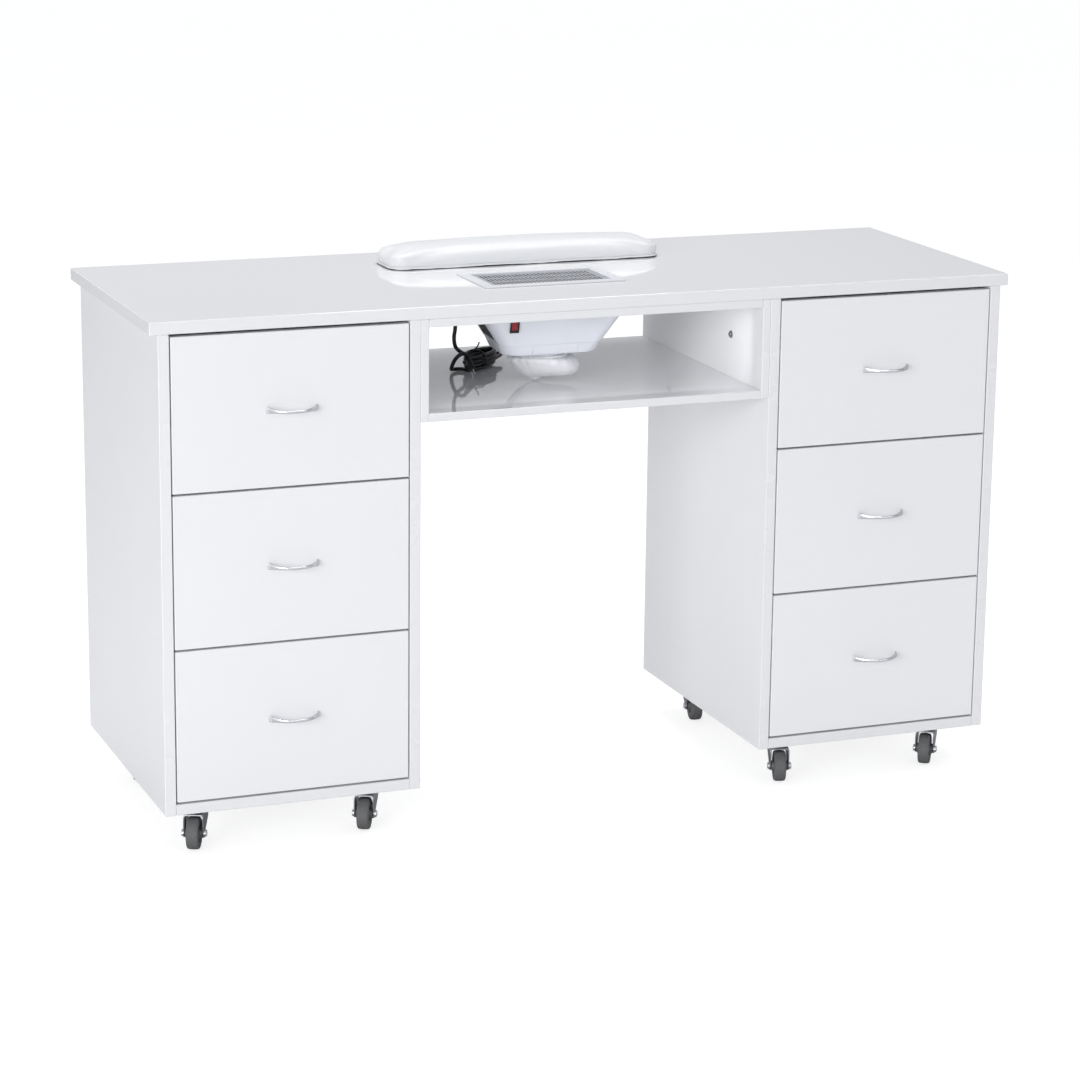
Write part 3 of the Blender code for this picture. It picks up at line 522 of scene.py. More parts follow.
# ---------------------------------------------------------------- handles
def bow_handle():
    """A drawn bow: thin in the middle, flaring into flat pads on the drawer front."""
    span, reach, thickness = 0.066, 0.021, 0.0045
    pad_height, waist_height, fullness = 0.0095, 0.0045, 2.6
    square = 0.85      # of the section: between an ellipse at 1 and a box at 0
    rings, sides = 57, 28
    loops = []
    for i in range(rings):
        t = -1 + 2 * i / (rings - 1)
        x = t * span / 2 * (1 + 0.10 * t * t)
        out = reach * (1 - abs(t) ** fullness)
        steepness = math.copysign(abs(t) ** (fullness - 1), t)
        slope = -fullness * reach * steepness / (span / 2)
        along = Vector((1, -slope, 0)).normalized()
        outward = Vector((along.y, -along.x, 0))
        height = waist_height + (pad_height - waist_height) * t ** 4
        deep = thickness * (1 - 0.30 * t * t)
        centre = Vector((x, -out - thickness / 2 - GAP, 0))
        loops.append([])
        for c, s in circle(sides):
            across = math.copysign(abs(c) ** square, c)
            up = math.copysign(abs(s) ** square, s)
            loops[-1].append(centre + outward * (across * deep / 2)
                             + Vector((0, 0, up * height / 2)))
    for loop in (loops[0], loops[-1]):
        for point in loop:
            point.y = -GAP
    return loft("bow_handle", loops)


def screw_head(radius, height):
    """A pan head with a crossed recess, standing up along +Z from 0."""
    profile = [(radius, 0.0), (radius, height * 0.35), (radius * 0.86, height * 0.80),
               (radius * 0.5, height * 0.98)]
    loops = [disc(r, h, 28) for r, h in profile]
    head = loft("pan_head", loops)
    arm, slot = 0.55 * radius, 0.18 * radius
    for turn in (0.0, math.pi / 2):
        bar = prism("recess", rectangle(-arm, -slot, arm, slot), height * 0.35, height * 1.3, "Z")
        bar.transform(Matrix.Rotation(turn, 4, "Z"))
        head = boolean(head, bar, "DIFFERENCE")
    return head


def build_handles():
    bow = bow_handle()
    screw = screw_head(0.0040, 0.0022)
    spacing, box_board = 0.064, 0.012
    for side in SIDES:
        for row in ROWS:
            low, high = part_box(f"drawer_handle_{side}_{row}")
            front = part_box(f"drawer_front_{side}_{row}")[0].y
            centre = Vector(((low.x + high.x) / 2, front, (low.z + high.z) / 2))
            body = f"drawer_{side}_{row}"
            pull = piece(f"handle_{side}_{row}", bow, "chrome", body,
                         Matrix.Translation(centre))
            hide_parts(f"drawer_handle_{side}_{row}")
            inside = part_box(f"drawer_box_{side}_{row}")[0].y + box_board + GAP
            for end, sign in (("a", -1), ("b", 1)):
                piece(f"handle_screw_{side}_{row}_{end}", screw, "bolt", body,
                      placed((centre.x + sign * spacing / 2, inside, centre.z),
                             -math.pi / 2, "X"))


# ---------------------------------------------------------------- drawer runners
def channel(name, depth, height, sheet, length):
    """A C channel, open towards +X, with rolled lips, running along Y from 0."""
    half, lip = height / 2, 0.0028
    outline = [(0, -half), (depth, -half), (depth, -half + lip), (depth - sheet, -half + lip),
               (depth - sheet, -half + sheet), (sheet, -half + sheet), (sheet, half - sheet),
               (depth - sheet, half - sheet), (depth - sheet, half - lip), (depth, half - lip),
               (depth, half), (0, half)]
    return rounded(prism(name, outline, 0.0, length, "Y"), 0.0003, 2)


def build_runners():
    """On both sides of every drawer: a channel on the cabinet and a smaller one on the box."""
    sheet, length = 0.0010, 0.385
    room, set_back = 0.013, 0.006        # beside the drawer box, and behind its front end
    outer = channel("cabinet_runner", 0.0105, 0.034, sheet, length)
    inner = channel("drawer_runner", 0.0078, 0.022, sheet, length)
    screw = screw_head(0.0032, 0.0012)
    for side in SIDES:
        for row in ROWS:
            low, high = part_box(f"drawer_box_{side}_{row}")
            front, middle = low.y + set_back, (low.z + high.z) / 2
            for wall, x, sign in (("left", low.x, 1), ("right", high.x, -1)):
                board_x = x - sign * room
                name = f"{side}_{row}_{wall}"
                for part, mesh, start, open_to, body in (
                        ("cabinet", outer, board_x + sign * GAP, sign, ROOT),
                        ("drawer", inner, x - sign * GAP, -sign, f"drawer_{side}_{row}")):
                    turned = placed((start, front, middle)) @ Matrix.Scale(open_to, 4, (1, 0, 0))
                    piece(f"{part}_runner_{name}", outwards(moved(mesh, turned)), "runner",
                          body)
                for number, share in enumerate((0.12, 0.88)):
                    place = (board_x + sign * (GAP + sheet), front + share * length, middle)
                    piece(f"runner_screw_{name}_{number}", screw, "bolt", ROOT,
                          placed(place, sign * math.pi / 2, "Y"))


# ---------------------------------------------------------------- casters
def hexagon(radius, low, high, dome):
    """A hexagon head or nut along X with a chamfered, slightly domed end."""
    loops = [disc(radius, low, 6, "X"), disc(radius, high - dome, 6, "X"),
             disc(radius * 0.80, high, 6, "X")]
    return rounded(loft("hexagon", loops), 0.0004, 2, 20.0)


TRAIL = 0.022                   # from the swivel's axis back to the wheel's
FORK_HALF = 0.015               # half the width over the fork's legs
FORK_SHEET = 0.0022
HEAD_RISE = 0.0001              # between the fork's crown and the swivel head


def fork_sheet(wheel_radius, crown_low):
    """The bent and trimmed fork, about the swivel's axis with the wheel at -Y."""
    bend = 0.0042
    crown_top = crown_low + FORK_SHEET

    def arch(inset):
        """One side of the inverted U, from the left foot over the crown to the right foot."""
        points = [(-FORK_HALF + inset, 0.0)]
        for sign in (-1, 1):
            for step in range(7):
                angle = math.pi / 2 * (step / 6)
                if sign > 0:
                    angle = math.pi / 2 - angle
                radius = bend - inset
                points.append((sign * (FORK_HALF - bend) + sign * radius * math.cos(angle),
                               crown_top - bend + radius * math.sin(angle)))
        points.append((FORK_HALF - inset, 0.0))
        return points

    bent = prism("bent_sheet", arch(0.0) + list(reversed(arch(FORK_SHEET))), -0.030, 0.020, "Y")
    eye = 0.0068
    side = [(0.0155, crown_top + 0.004), (-0.027, crown_top + 0.004), (-0.0285, crown_low - 0.005)]
    for step in range(9):
        angle = math.radians(190 + step * 20)
        side.append((-TRAIL + eye * math.cos(angle), wheel_radius + eye * math.sin(angle)))
    side += [(0.0130, crown_low - 0.012), (0.0165, crown_low - 0.004)]
    trimmed = boolean(bent, prism("side_outline", side, -0.02, 0.02, "X"), "INTERSECT")
    return rounded(trimmed, 0.0004, 2, 50.0)


def swivel_head_mesh(low, high):
    """Two bearing cups with a groove between them, a neck, and a plate under the board."""
    tall = high - low
    bore, cup, waist, neck, plate = 0.0052, 0.0125, 0.0100, 0.0078, 0.0110
    # radius, share of the height
    cups = ((bore, 0.0), (cup, 0.0), (cup, 0.26), (cup - 0.0008, 0.33), (waist, 0.38),
            (waist, 0.44), (cup - 0.0004, 0.48), (cup, 0.56), (cup - 0.0012, 0.74), (neck, 0.80))
    profile = [(radius, low + tall * share) for radius, share in cups]
    profile += [(neck, high - 0.0012), (plate, high - 0.0010), (plate, high), (bore, high)]
    return rounded(lathe("swivel_head", profile, 56), 0.0003, 2, 28.0)


def axle_mesh(wheel_radius):
    """A bolt through both legs, with a head, a nut and two washers."""
    end, washer, corner = 0.019, 0.0007, 0.0054
    face = FORK_HALF + washer
    shank = loft("axle", [disc(0.0030, x, 24, "X") for x in (-end + 0.001, end - 0.001)])
    washers = [loft("washer", [disc(0.0062, sign * x, 36, "X") for x in (FORK_HALF, face)])
               for sign in (-1, 1)]
    head = hexagon(corner, face, end - 0.0002, 0.0010)
    nut = moved(hexagon(corner, face, end - 0.0006, 0.0006), Matrix.Rotation(math.pi, 4, "Z"))
    axle = joined("axle_set", [shank, *washers, head, outwards(nut)])
    axle.transform(Matrix.Translation((0, -TRAIL, wheel_radius)))
    return axle


def fork_meshes(wheel_radius, board_bottom):
    """The fork with its swivel head, rivet and axle."""
    crown_low = 2 * wheel_radius + 0.003
    rivet = loft("rivet", [disc(r, crown_low - h, 28) for r, h in (
        (0.0062, -0.0004), (0.0062, 0.0005), (0.0046, 0.0013), (0.0020, 0.0016))])
    head = swivel_head_mesh(crown_low + FORK_SHEET + HEAD_RISE, board_bottom - GAP)
    return {"fork": (fork_sheet(wheel_radius, crown_low), "zinc"), "swivel_head": (head, "zinc"),
            "rivet": (rivet, "bolt"), "axle": (axle_mesh(wheel_radius), "bolt")}


def wheel_meshes(radius):
    """Tyre with a crowned tread, and a hub with a recessed web and a long boss."""
    width, shoulder, crown = 0.009, 0.0028, 0.0004
    tread = [(radius - 0.0042, width)]
    for step in range(7):
        angle = math.pi / 2 * step / 6
        tread.append((radius - crown - shoulder + shoulder * math.sin(angle),
                      width - shoulder + shoulder * math.cos(angle)))
    tread.append((radius, 0.0020))
    half = [(0.0150, width - 0.0006), (0.0160, width), *tread]
    tyre = lathe("tyre", half + [(r, -x) for r, x in reversed(half)], 96, "X")
    boss, web = 0.0122, 0.0058
    hub_half = [(0.0034, boss), (0.0074, boss), (0.0080, boss - 0.0006), (0.0084, web),
                (0.0128, web), (0.0134, width - 0.0004), (0.0149, width - 0.0004)]
    hub = lathe("hub", hub_half + [(r, -x) for r, x in reversed(hub_half)], 72, "X")
    return {"tyre": (tyre, "rubber"), "hub": (rounded(hub, 0.0003, 2, 28.0), "hub")}


def build_casters():
    """Eight casters: the shapes are shared, their places come from the frame's joints."""
    board_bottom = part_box("left_pedestal_bottom")[0].z
    low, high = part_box("caster_wheel_left_front_outer")
    radius = (high.z - low.z) / 2
    fork_set, wheel_set = fork_meshes(radius, board_bottom), wheel_meshes(radius)
    replaced = {"fork": "fork", "tyre": "wheel"}
    for name, joint in JOINTS.items():
        if not name.startswith("swivel_"):
            continue
        place = name.removeprefix("swivel_")
        roll = JOINTS[f"roll_{place}"]
        turn = math.atan2(roll["axis"][1], roll["axis"][0])
        x, y, _ = joint["pos_m"]
        for meshes, slot, body, where in (
                (fork_set, "zinc", joint["child"], placed((x, y, 0), turn)),
                (wheel_set, "rubber", roll["child"], placed(roll["pos_m"], turn))):
            for part, (mesh, material) in meshes.items():
                obj = piece(f"caster_{part}_{place}", mesh, material, body, where)
                if part in replaced:
                    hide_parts(f"caster_{replaced[part]}_{place}")


# ---------------------------------------------------------------- armrest
def simulate(mesh, voxel, pressure, frames, cap, pinned):
    """Blows a closed mesh up like stuffed cloth. Each point may move cap at most."""
    scene = bpy.context.scene
    obj = add_object("padding", mesh)
    modifier(obj, "REMESH", mode="VOXEL", voxel_size=voxel)
    bpy.context.view_layer.update()
    even = evaluated_mesh(obj)
    obj.modifiers.clear()
    obj.data = even
    rest = [v.co.copy() for v in even.vertices]
    group = obj.vertex_groups.new(name="held")
    group.add([v.index for v in even.vertices if pinned(v.co)], 1.0, "ADD")
    cloth = modifier(obj, "CLOTH")
    settings = cloth.settings
    settings.quality = 6
    settings.mass = 0.3
    settings.use_pressure = True
    settings.uniform_pressure_force = pressure
    settings.vertex_group_mass = "held"
    settings.effector_weights.gravity = 0.0
    cloth.collision_settings.use_collision = False
    cloth.point_cache.frame_start = 1
    cloth.point_cache.frame_end = frames
    for step in range(1, frames + 1):
        scene.frame_set(step)
    puffed = evaluated_mesh(obj)
    for vertex, start in zip(puffed.vertices, rest):
        shift = vertex.co - start
        if shift.length > cap:
            vertex.co = start + shift.normalized() * cap
    obj.modifiers.clear()
    obj.data = puffed
    scene.frame_set(1)
    result = obj.data
    bpy.data.objects.remove(obj, do_unlink=True)
    return result


def subdivided(mesh):
    obj = add_object("subdivided", mesh)
    modifier(obj, "SUBSURF", levels=1, render_levels=1)
    bpy.context.view_layer.update()
    result = evaluated_mesh(obj)
    bpy.data.objects.remove(obj, do_unlink=True)
    return result


def outline_loop(centre, half, radius, height, corner_steps, side_steps=0):
    """A rounded rectangle as a loop, with extra points along the two sides that run in X."""
    loop = []
    for corner, (sx, sy) in enumerate(((1, 1), (-1, 1), (-1, -1), (1, -1))):
        pivot = Vector((centre.x + sx * (half[0] - radius), centre.y + sy * (half[1] - radius)))
        for step in range(corner_steps):
            angle = math.pi / 2 * (corner + step / (corner_steps - 1))
            loop.append(Vector((pivot.x + radius * math.cos(angle),
                                pivot.y + radius * math.sin(angle), height)))
        if corner % 2 == 0 and side_steps:
            last = loop[-1]
            length = 2 * (half[0] - radius)
            direction = -sx if corner == 0 else 1
            loop += [last + Vector((direction * length * (i + 1) / (side_steps + 1), 0, 0))
                     for i in range(side_steps)]
    return loop


def cushion_form(low, high, shrink, arch):
    """The pad before it is stuffed: upright sides, a soft top edge and a low crown."""
    middle = (low + high) / 2
    half = ((high.x - low.x) / 2 - shrink, (high.y - low.y) / 2 - shrink)
    bottom, top = low.z + 0.0002, high.z - shrink
    # share of the height, inset from the side
    sections = ((0.0, 0.0030), (0.05, 0.0006), (0.14, 0.0), (0.60, 0.0), (0.68, 0.0012),
                (0.76, 0.0044), (0.83, 0.0105), (0.89, 0.0185), (0.94, 0.0270), (0.98, 0.0360),
                (1.0, 0.0440))
    loops = []
    for share, inset in sections:
        loop = outline_loop(middle, (half[0] - inset, half[1] - inset),
                            max(0.026 - inset * 0.5, 0.003), 0.0, 9, 20)
        for point in loop:
            outwards_share = (point.x - middle.x) / half[0]
            point.z = bottom + share * (top - bottom - arch * outwards_share ** 2)
        loops.append(loop)
    return loft("cushion_form", loops)


def build_cushion():
    """Foam under stretched leatherette: crowned, arched, with drawn corners and a tucked hem."""
    low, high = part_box("armrest_cushion")
    middle, half = (low + high) / 2, (high - low) / 2
    form = cushion_form(low, high, 0.0018, 0.0060)
    padded = simulate(form, 0.0042, 4.0, 20, 0.0028, lambda p: p.z < low.z + 0.004)
    mesh = subdivided(padded)
    corner_reach, calm, pleat_depth, pleats = 0.030, 0.010, 0.0009, 26
    for vertex in mesh.vertices:
        co = vertex.co
        for sx in (-1, 1):
            for sy in (-1, 1):
                pivot = Vector((middle.x + sx * (half.x - corner_reach),
                                middle.y + sy * (half.y - corner_reach), 0))
                flat = Vector((co.x, co.y, 0)) - pivot
                if flat.x * sx < 0 or flat.y * sy < 0 or flat.length < calm:
                    continue
                angle = math.atan2(flat.y * sy, flat.x * sx)
                fade = min(1.0, (flat.length - calm) / 0.012)
                fade *= math.sin(2 * angle) ** 2 * max(0.0, 1 - (co.z - low.z) / 0.024)
                fold = 0.5 + 0.5 * math.cos(angle * pleats)
                co -= flat.normalized() * pleat_depth * fade * fold
        drag = noise.noise(Vector((co.x * 9, co.y * 26, co.z * 30))) * 0.0007
        co.z += drag * min(1.0, max(0.0, (co.z - low.z - 0.012) / 0.010))
        co.z = max(co.z, low.z + 0.0001)
        for i in range(3):
            co[i] = min(max(co[i], low[i] - 0.002), high[i] + 0.003)
    cushion = piece("armrest_padding", mesh, "leatherette", sharp=80.0)
    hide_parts("armrest_cushion")
    build_hem(middle)


def build_hem(middle):
    """The leatherette's edge, pulled unevenly over the rim of the dark base."""
    base_low, base_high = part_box("armrest_base")
    half = ((base_high.x - base_low.x) / 2, (base_high.y - base_low.y) / 2)
    rise, thick, corner, deepest = 0.0030, 0.0007, 0.026, 0.0019
    top = base_high.z + rise
    sheets = []
    for distance in (0.0004, 0.0004 + thick):
        for tuck in (0.0, 0.0022):       # the upper rim is tucked in under the padding
            out = distance - tuck
            ring = outline_loop(middle, (half[0] + out, half[1] + out), corner + out,
                                top, 14, 150)
            for point in ring if tuck == 0.0 else ():
                wave = noise.noise(Vector((point.x * 17, point.y * 23, 3.1)))
                ripple = noise.noise(Vector((point.x * 90, point.y * 90, 7.7)))
                sag = min(1.0, max(0.0, 0.30 + 1.1 * wave + 0.25 * ripple)) * deepest
                point.z = base_high.z - sag
            sheets.append(ring)
    inner_low, inner_high, outer_low, outer_high = sheets
    mesh = loft("armrest_hem", [inner_low, inner_high, outer_high, outer_low], closed=True)
    piece("armrest_hem", mesh, "leatherette", sharp=60.0)


# ---------------------------------------------------------------- dust bag
BAG_NECK = Vector((EXTRACTOR.x, EXTRACTOR.y, SHELF_TOP))
BAG_AHEAD = math.radians(-21.7)     # the direction in which the bag hangs out furthest
BAG_ALONG = Vector((math.cos(BAG_AHEAD), math.sin(BAG_AHEAD), 0))
BAG_ASIDE = Vector((-BAG_ALONG.y, BAG_ALONG.x, 0))


def bag_form():
    """The bag before it wrinkles, and the height of its top."""
    depth_share = 0.86
    seen_slope = 0.26        # the underside rises to the front and back like a hammock
    # height over the shelf and reach from the neck's axis: the full side, then the slack side
    stations = (
        (0.0400, 0.0385, 0.0402, 0.0385), (0.0392, 0.0455, 0.0398, 0.0430),
        (0.0368, 0.0525, 0.0380, 0.0478), (0.0315, 0.0568, 0.0350, 0.0500),
        (0.0232, 0.0582, 0.0315, 0.0502), (0.0165, 0.0566, 0.0262, 0.0452),
        (0.0120, 0.0530, 0.0195, 0.0378), (0.0090, 0.0460, 0.0125, 0.0305),
        (0.0078, 0.0375, 0.0082, 0.0255), (0.0072, 0.0240, 0.0058, 0.0215),
        (0.0068, 0.0100, 0.0042, 0.0185), (0.0054, 0.0022, 0.0028, 0.0158),
        (0.0030, -0.0004, 0.0016, 0.0136), (0.0008, -0.0009, 0.0008, 0.0130))
    loops = []
    for number, (full_z, full, slack_z, slack) in enumerate(stations):
        centre = BAG_NECK + BAG_ALONG * (full - slack) / 2
        half = (full + slack) / 2
        loops.append([])
        for c, s in circle(96):
            height = slack_z + (full_z - slack_z) * (0.5 + 0.5 * c)
            height += seen_slope * half * depth_share * s * s * min(1.0, number / 5)
            loops[-1].append(centre + BAG_ALONG * (half * c)
                             + BAG_ASIDE * (half * depth_share * s) + Vector((0, 0, height)))
    return loft("dust_bag_cloth", loops), SHELF_TOP + stations[0][0]


def build_bag():
    """A slack cloth bag, full on its right and drawn down to a tied tail, with soft wrinkles."""
    form, top = bag_form()
    mesh = subdivided(form)
    calm = 0.010             # round the neck's axis, where no wrinkle has a direction
    for vertex in mesh.vertices:
        co = vertex.co
        away = Vector((co.x - BAG_NECK.x, co.y - BAG_NECK.y, 0))
        if away.length < calm:
            continue
        around = math.atan2(away.y, away.x)
        near_cuff = min(1.0, max(0.0, 1 - (top - co.z) / 0.016))
        gathers = (math.sin(around * 21) + 0.6 * math.sin(around * 13 + 1.3)) * 0.0009
        sag = noise.noise(Vector((co.x * 38, co.y * 38, co.z * 30))) * 0.0022
        wrinkle = noise.noise(Vector((co.x * 110, co.y * 110, co.z * 60 + 5.0))) * 0.0006
        lift = min(1.0, max(0.0, (co.z - SHELF_TOP) / 0.012))
        co += away.normalized() * (gathers * near_cuff + (sag + wrinkle) * lift)
        co.z = max(co.z, SHELF_TOP + 0.0005)
    bag = piece("dust_bag_cloth", mesh, "cloth", sharp=80.0)
    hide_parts("dust_bag")
    build_bag_cuff()
    build_bag_tie()


def build_bag_cuff():
    """The elastic hem that grips the housing's neck, gathered outside."""
    count, gathers = 240, 34
    loops = []
    for height, reach, ripple in ((0.0330, 0.0368, 0.0), (0.0425, 0.0368, 0.0),
                                  (0.0437, 0.0380, 0.0004), (0.0432, 0.0397, 0.0007),
                                  (0.0412, 0.0404, 0.0008), (0.0392, 0.0400, 0.0007),
                                  (0.0370, 0.0385, 0.0)):
        loops.append([])
        for number, (c, s) in enumerate(circle(count)):
            r = reach + ripple * math.sin(2 * math.pi * number / count * gathers)
            loops[-1].append(BAG_NECK + Vector((r * c, r * s, height)))
    piece("dust_bag_cuff", loft("dust_bag_cuff", loops, closed=True), "cloth",
          sharp=80.0)


def build_bag_tie():
    """The draw cord round the bag's tail."""
    tail = BAG_NECK - BAG_ALONG * 0.00695 + Vector((0, 0, 0.0034))
    ring = [tail + BAG_ALONG * (0.0070 * c) + BAG_ASIDE * (0.0062 * s) for c, s in circle(32)]
    piece("dust_bag_tie", tube("dust_bag_tie", ring, 0.0008, 10, ring=True), "cloth",
          sharp=60.0)


# ---------------------------------------------------------------- extractor housing
# drop below the tabletop, half width, half depth, corner radius, how much the back narrows
HOUSING_SECTIONS = (
    (0.0003, 0.1340, 0.0860, 0.022, 0.0), (0.0034, 0.1340, 0.0860, 0.022, 0.0),
    (0.0043, 0.1331, 0.0851, 0.022, 0.0), (0.0043, 0.1240, 0.0770, 0.024, 0.10),
    (0.0170, 0.1210, 0.0740, 0.024, 0.12), (0.0711, 0.0848, 0.0606, 0.026, 0.12),
    (0.0714, 0.0836, 0.0594, 0.025, 0.12), (0.0722, 0.0831, 0.0590, 0.025, 0.12),
    (0.0725, 0.0838, 0.0598, 0.026, 0.12), (0.0850, 0.0782, 0.0562, 0.028, 0.12),
    (0.0872, 0.0766, 0.0548, 0.028, 0.12), (0.0886, 0.0738, 0.0522, 0.028, 0.11),
    (0.0893, 0.0690, 0.0478, 0.028, 0.10), (0.0895, 0.0380, 0.0380, 0.038, 0.0),
    (0.0905, 0.0362, 0.0362, 0.0362, 0.0), (0.1058, 0.0360, 0.0360, 0.036, 0.0))
HOUSING_WALL = 0.0025


def housing_size(drop):
    """Half width, half depth and narrowing of the housing at a drop below the tabletop."""
    for above, below in zip(HOUSING_SECTIONS, HOUSING_SECTIONS[1:]):
        if above[0] <= drop < below[0]:
            share = (drop - above[0]) / (below[0] - above[0])
            return [a + (b - a) * share for a, b in zip(above[1:], below[1:])]
    raise ValueError(drop)


def left_wall(y, drop, inset):
    """A point of the left wall, inset from its outside."""
    half_x, half_y, _, narrowing = housing_size(drop)
    back = (y - (EXTRACTOR.y - half_y)) / (2 * half_y)
    x = EXTRACTOR.x - (half_x - inset) * (1 - narrowing * back)
    return Vector((x, y, TOP_UNDERSIDE - drop))


def left_wall_block(name, ys, drops, insets):
    """A block that follows the left wall: from one y, drop and inset to the other of each."""
    return loft(name, [[left_wall(ys[0], drop, insets[0]), left_wall(ys[1], drop, insets[0]),
                        left_wall(ys[1], drop, insets[1]), left_wall(ys[0], drop, insets[1])]
                       for drop in drops])


def build_housing():
    """The moulded funnel, its side outlet with upright slats, and the filter below the grille."""
    def ring(drop, half_x, half_y, radius, narrowing, wall):
        loop = outline_loop(EXTRACTOR, (half_x - wall, half_y - wall), max(radius - wall, 0.004),
                            TOP_UNDERSIDE - drop, 11)
        for point in loop:
            back = (point.y - (EXTRACTOR.y - half_y)) / (2 * half_y)
            point.x = EXTRACTOR.x + (point.x - EXTRACTOR.x) * (1 - narrowing * back)
        return loop

    outer = [ring(*section, 0.0) for section in HOUSING_SECTIONS]
    inner = []
    for drop, *size in reversed(HOUSING_SECTIONS[3:]):
        if drop in (0.0714, 0.0722, 0.0872):      # outside only: the crease and the rim's curve
            continue
        over_shoulder = HOUSING_WALL if 0.0880 < drop < 0.1000 else 0.0
        inner.append(ring(drop - over_shoulder, *size, HOUSING_WALL))
    inner[-1] = [Vector((p.x, p.y, TOP_UNDERSIDE - GAP)) for p in inner[-1]]
    mesh = loft("housing_shell", outer + inner, closed=True)

    window_y = (EXTRACTOR.y - 0.0360, EXTRACTOR.y + 0.0350)
    window_drop = (0.0200, 0.0670)
    mesh = boolean(mesh, left_wall_block("window", window_y, window_drop, (-0.006, 0.008)),
                   "DIFFERENCE")
    pivot = Vector(JOINTS["rocker_pivot"]["pos_m"])
    above, below = HOUSING_SECTIONS[4:6]
    lean = math.atan2(above[2] - below[2], below[0] - above[0])
    half_hole = (0.0063, 0.0098, 0.010)
    hole = prism("switch_hole", [(-half_hole[0], -half_hole[1]), (half_hole[0], -half_hole[1]),
                                 (half_hole[0], half_hole[1]), (-half_hole[0], half_hole[1])],
                 -half_hole[2], half_hole[2], "Z")
    tilt = Matrix.Translation(pivot) @ Matrix.Rotation(math.pi / 2 + lean, 4, "X")
    mesh = boolean(mesh, moved(hole, tilt), "DIFFERENCE")
    for x in (-0.0581, 0.0142):
        seam = []
        for drop in (0.0729, 0.0868):
            face = EXTRACTOR.y - housing_size(drop)[1]
            seam.append([Vector((x + dx, face + dy, TOP_UNDERSIDE - drop))
                         for dx, dy in ((-0.0004, -0.004), (0.0004, -0.004), (0.0004, 0.0007),
                                        (-0.0004, 0.0007))])
        mesh = boolean(mesh, loft("seam", seam), "DIFFERENCE")
    housing = piece("housing_shell", mesh, "white_plastic", sharp=24.0)
    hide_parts("extractor_housing")

    slats = []
    count, land = 9, 0.46
    first, last = window_y[0] + 0.0006, window_y[1] - 0.0006
    pitch = (last - first) / count
    top, bottom = window_drop[0] + 0.0006, window_drop[1] - 0.0006
    for i in range(count):
        start = first + i * pitch
        slats.append(left_wall_block("slat", (start, start + pitch * land), (top, bottom),
                                     (0.0004, 0.0022)))
    for edge in (top, bottom - 0.0030):
        slats.append(left_wall_block("cross", (first, last), (edge, edge + 0.0030),
                                     (0.0008, 0.0026)))
    # painted shade: a dark plate behind the slats stands in for the shade inside the outlet
    slats.append(left_wall_block("shaded_interior_standin", (first, last), (top, bottom), (0.0060, 0.0068)))
    for y in (first, last - 0.0015):
        slats.append(left_wall_block("cheek", (y, y + 0.0015), (top, bottom), (0.0008, 0.0068)))
    vent = piece("side_outlet", joined("side_outlet", slats), "dark_plastic",
                 sharp=30.0)
    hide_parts("side_vent")

    screw = screw_head(0.0036, 0.0018)
    flange_underside = TOP_UNDERSIDE - HOUSING_SECTIONS[2][0] - GAP
    corner, middle = (0.1245, 0.0775), 0.0815
    places = [(sx * corner[0], sy * corner[1]) for sx in (-1, 1) for sy in (-1, 1)]
    for number, (x, y) in enumerate([*places, (0.0, -middle), (0.0, middle)]):
        place = Vector((EXTRACTOR.x + x, EXTRACTOR.y + y, flange_underside))
        piece(f"housing_screw_{number}", screw, "bolt", ROOT,
              Matrix.Translation(place) @ Matrix.Rotation(math.pi, 4, "X"))

    grille_low, grille_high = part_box("vent_grille")
    pad_half = ((grille_high.x - grille_low.x) / 2 - 0.0056,
                (grille_high.y - grille_low.y) / 2 - 0.0056)
    centre = (grille_low + grille_high) / 2
    pad = loft("filter_pad", [outline_loop(centre, (pad_half[0] - inset, pad_half[1] - inset),
                                           0.002, grille_low.z - drop, 4)
                              for drop, inset in ((0.0048, 0.0006), (0.0044, 0.0), (0.0022, 0.0),
                                                  (0.0018, 0.0006))])
    piece("filter_pad", pad, "filter", sharp=40.0)


def build_motor():
    """A ribbed motor can on two crossed strips that reach the housing's walls."""
    low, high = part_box("fan_motor")
    bore, body, edge, rib = 0.0036, 0.0292, 0.0026, 0.0008
    half_profile = [(bore, high.z), (0.010, high.z), (0.0108, high.z - 0.0010),
                    (body - edge, high.z - 0.0010), (body, high.z - edge - 0.0010)]
    ribs, first, pitch = 4, high.z - 0.0046, 0.0016
    for i in range(ribs):
        z = first - i * pitch
        half_profile += [(body, z), (body + rib, z - 0.0002), (body + rib, z - 0.0009),
                         (body, z - 0.0011)]
    half_profile += [(body, low.z + edge), (body - edge, low.z), (bore, low.z)]
    can = lathe("motor_can", half_profile, 64)
    can.transform(Matrix.Translation((EXTRACTOR.x, EXTRACTOR.y, 0)))
    strip_low, strip_high, strip_half = low.z + 0.0120, low.z + 0.0156, 0.005
    strips = []
    for reach, turn in ((0.0765, 0.0), (0.0575, math.pi / 2)):
        for sign in (-1, 1):
            start = sign * (body - 0.004)
            outline = [(start, -strip_half), (sign * reach, -strip_half),
                       (sign * reach, strip_half), (start, strip_half)]
            strip = rounded(prism("strip", outline, strip_low, strip_high, "Z"), 0.0008, 2)
            strips.append(moved(strip, Matrix.Translation((EXTRACTOR.x, EXTRACTOR.y, 0))
                                @ Matrix.Rotation(turn, 4, "Z")))
    motor = piece("fan_motor_can", joined("fan_motor_can", [can, *strips]), "motor")
    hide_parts("fan_motor")


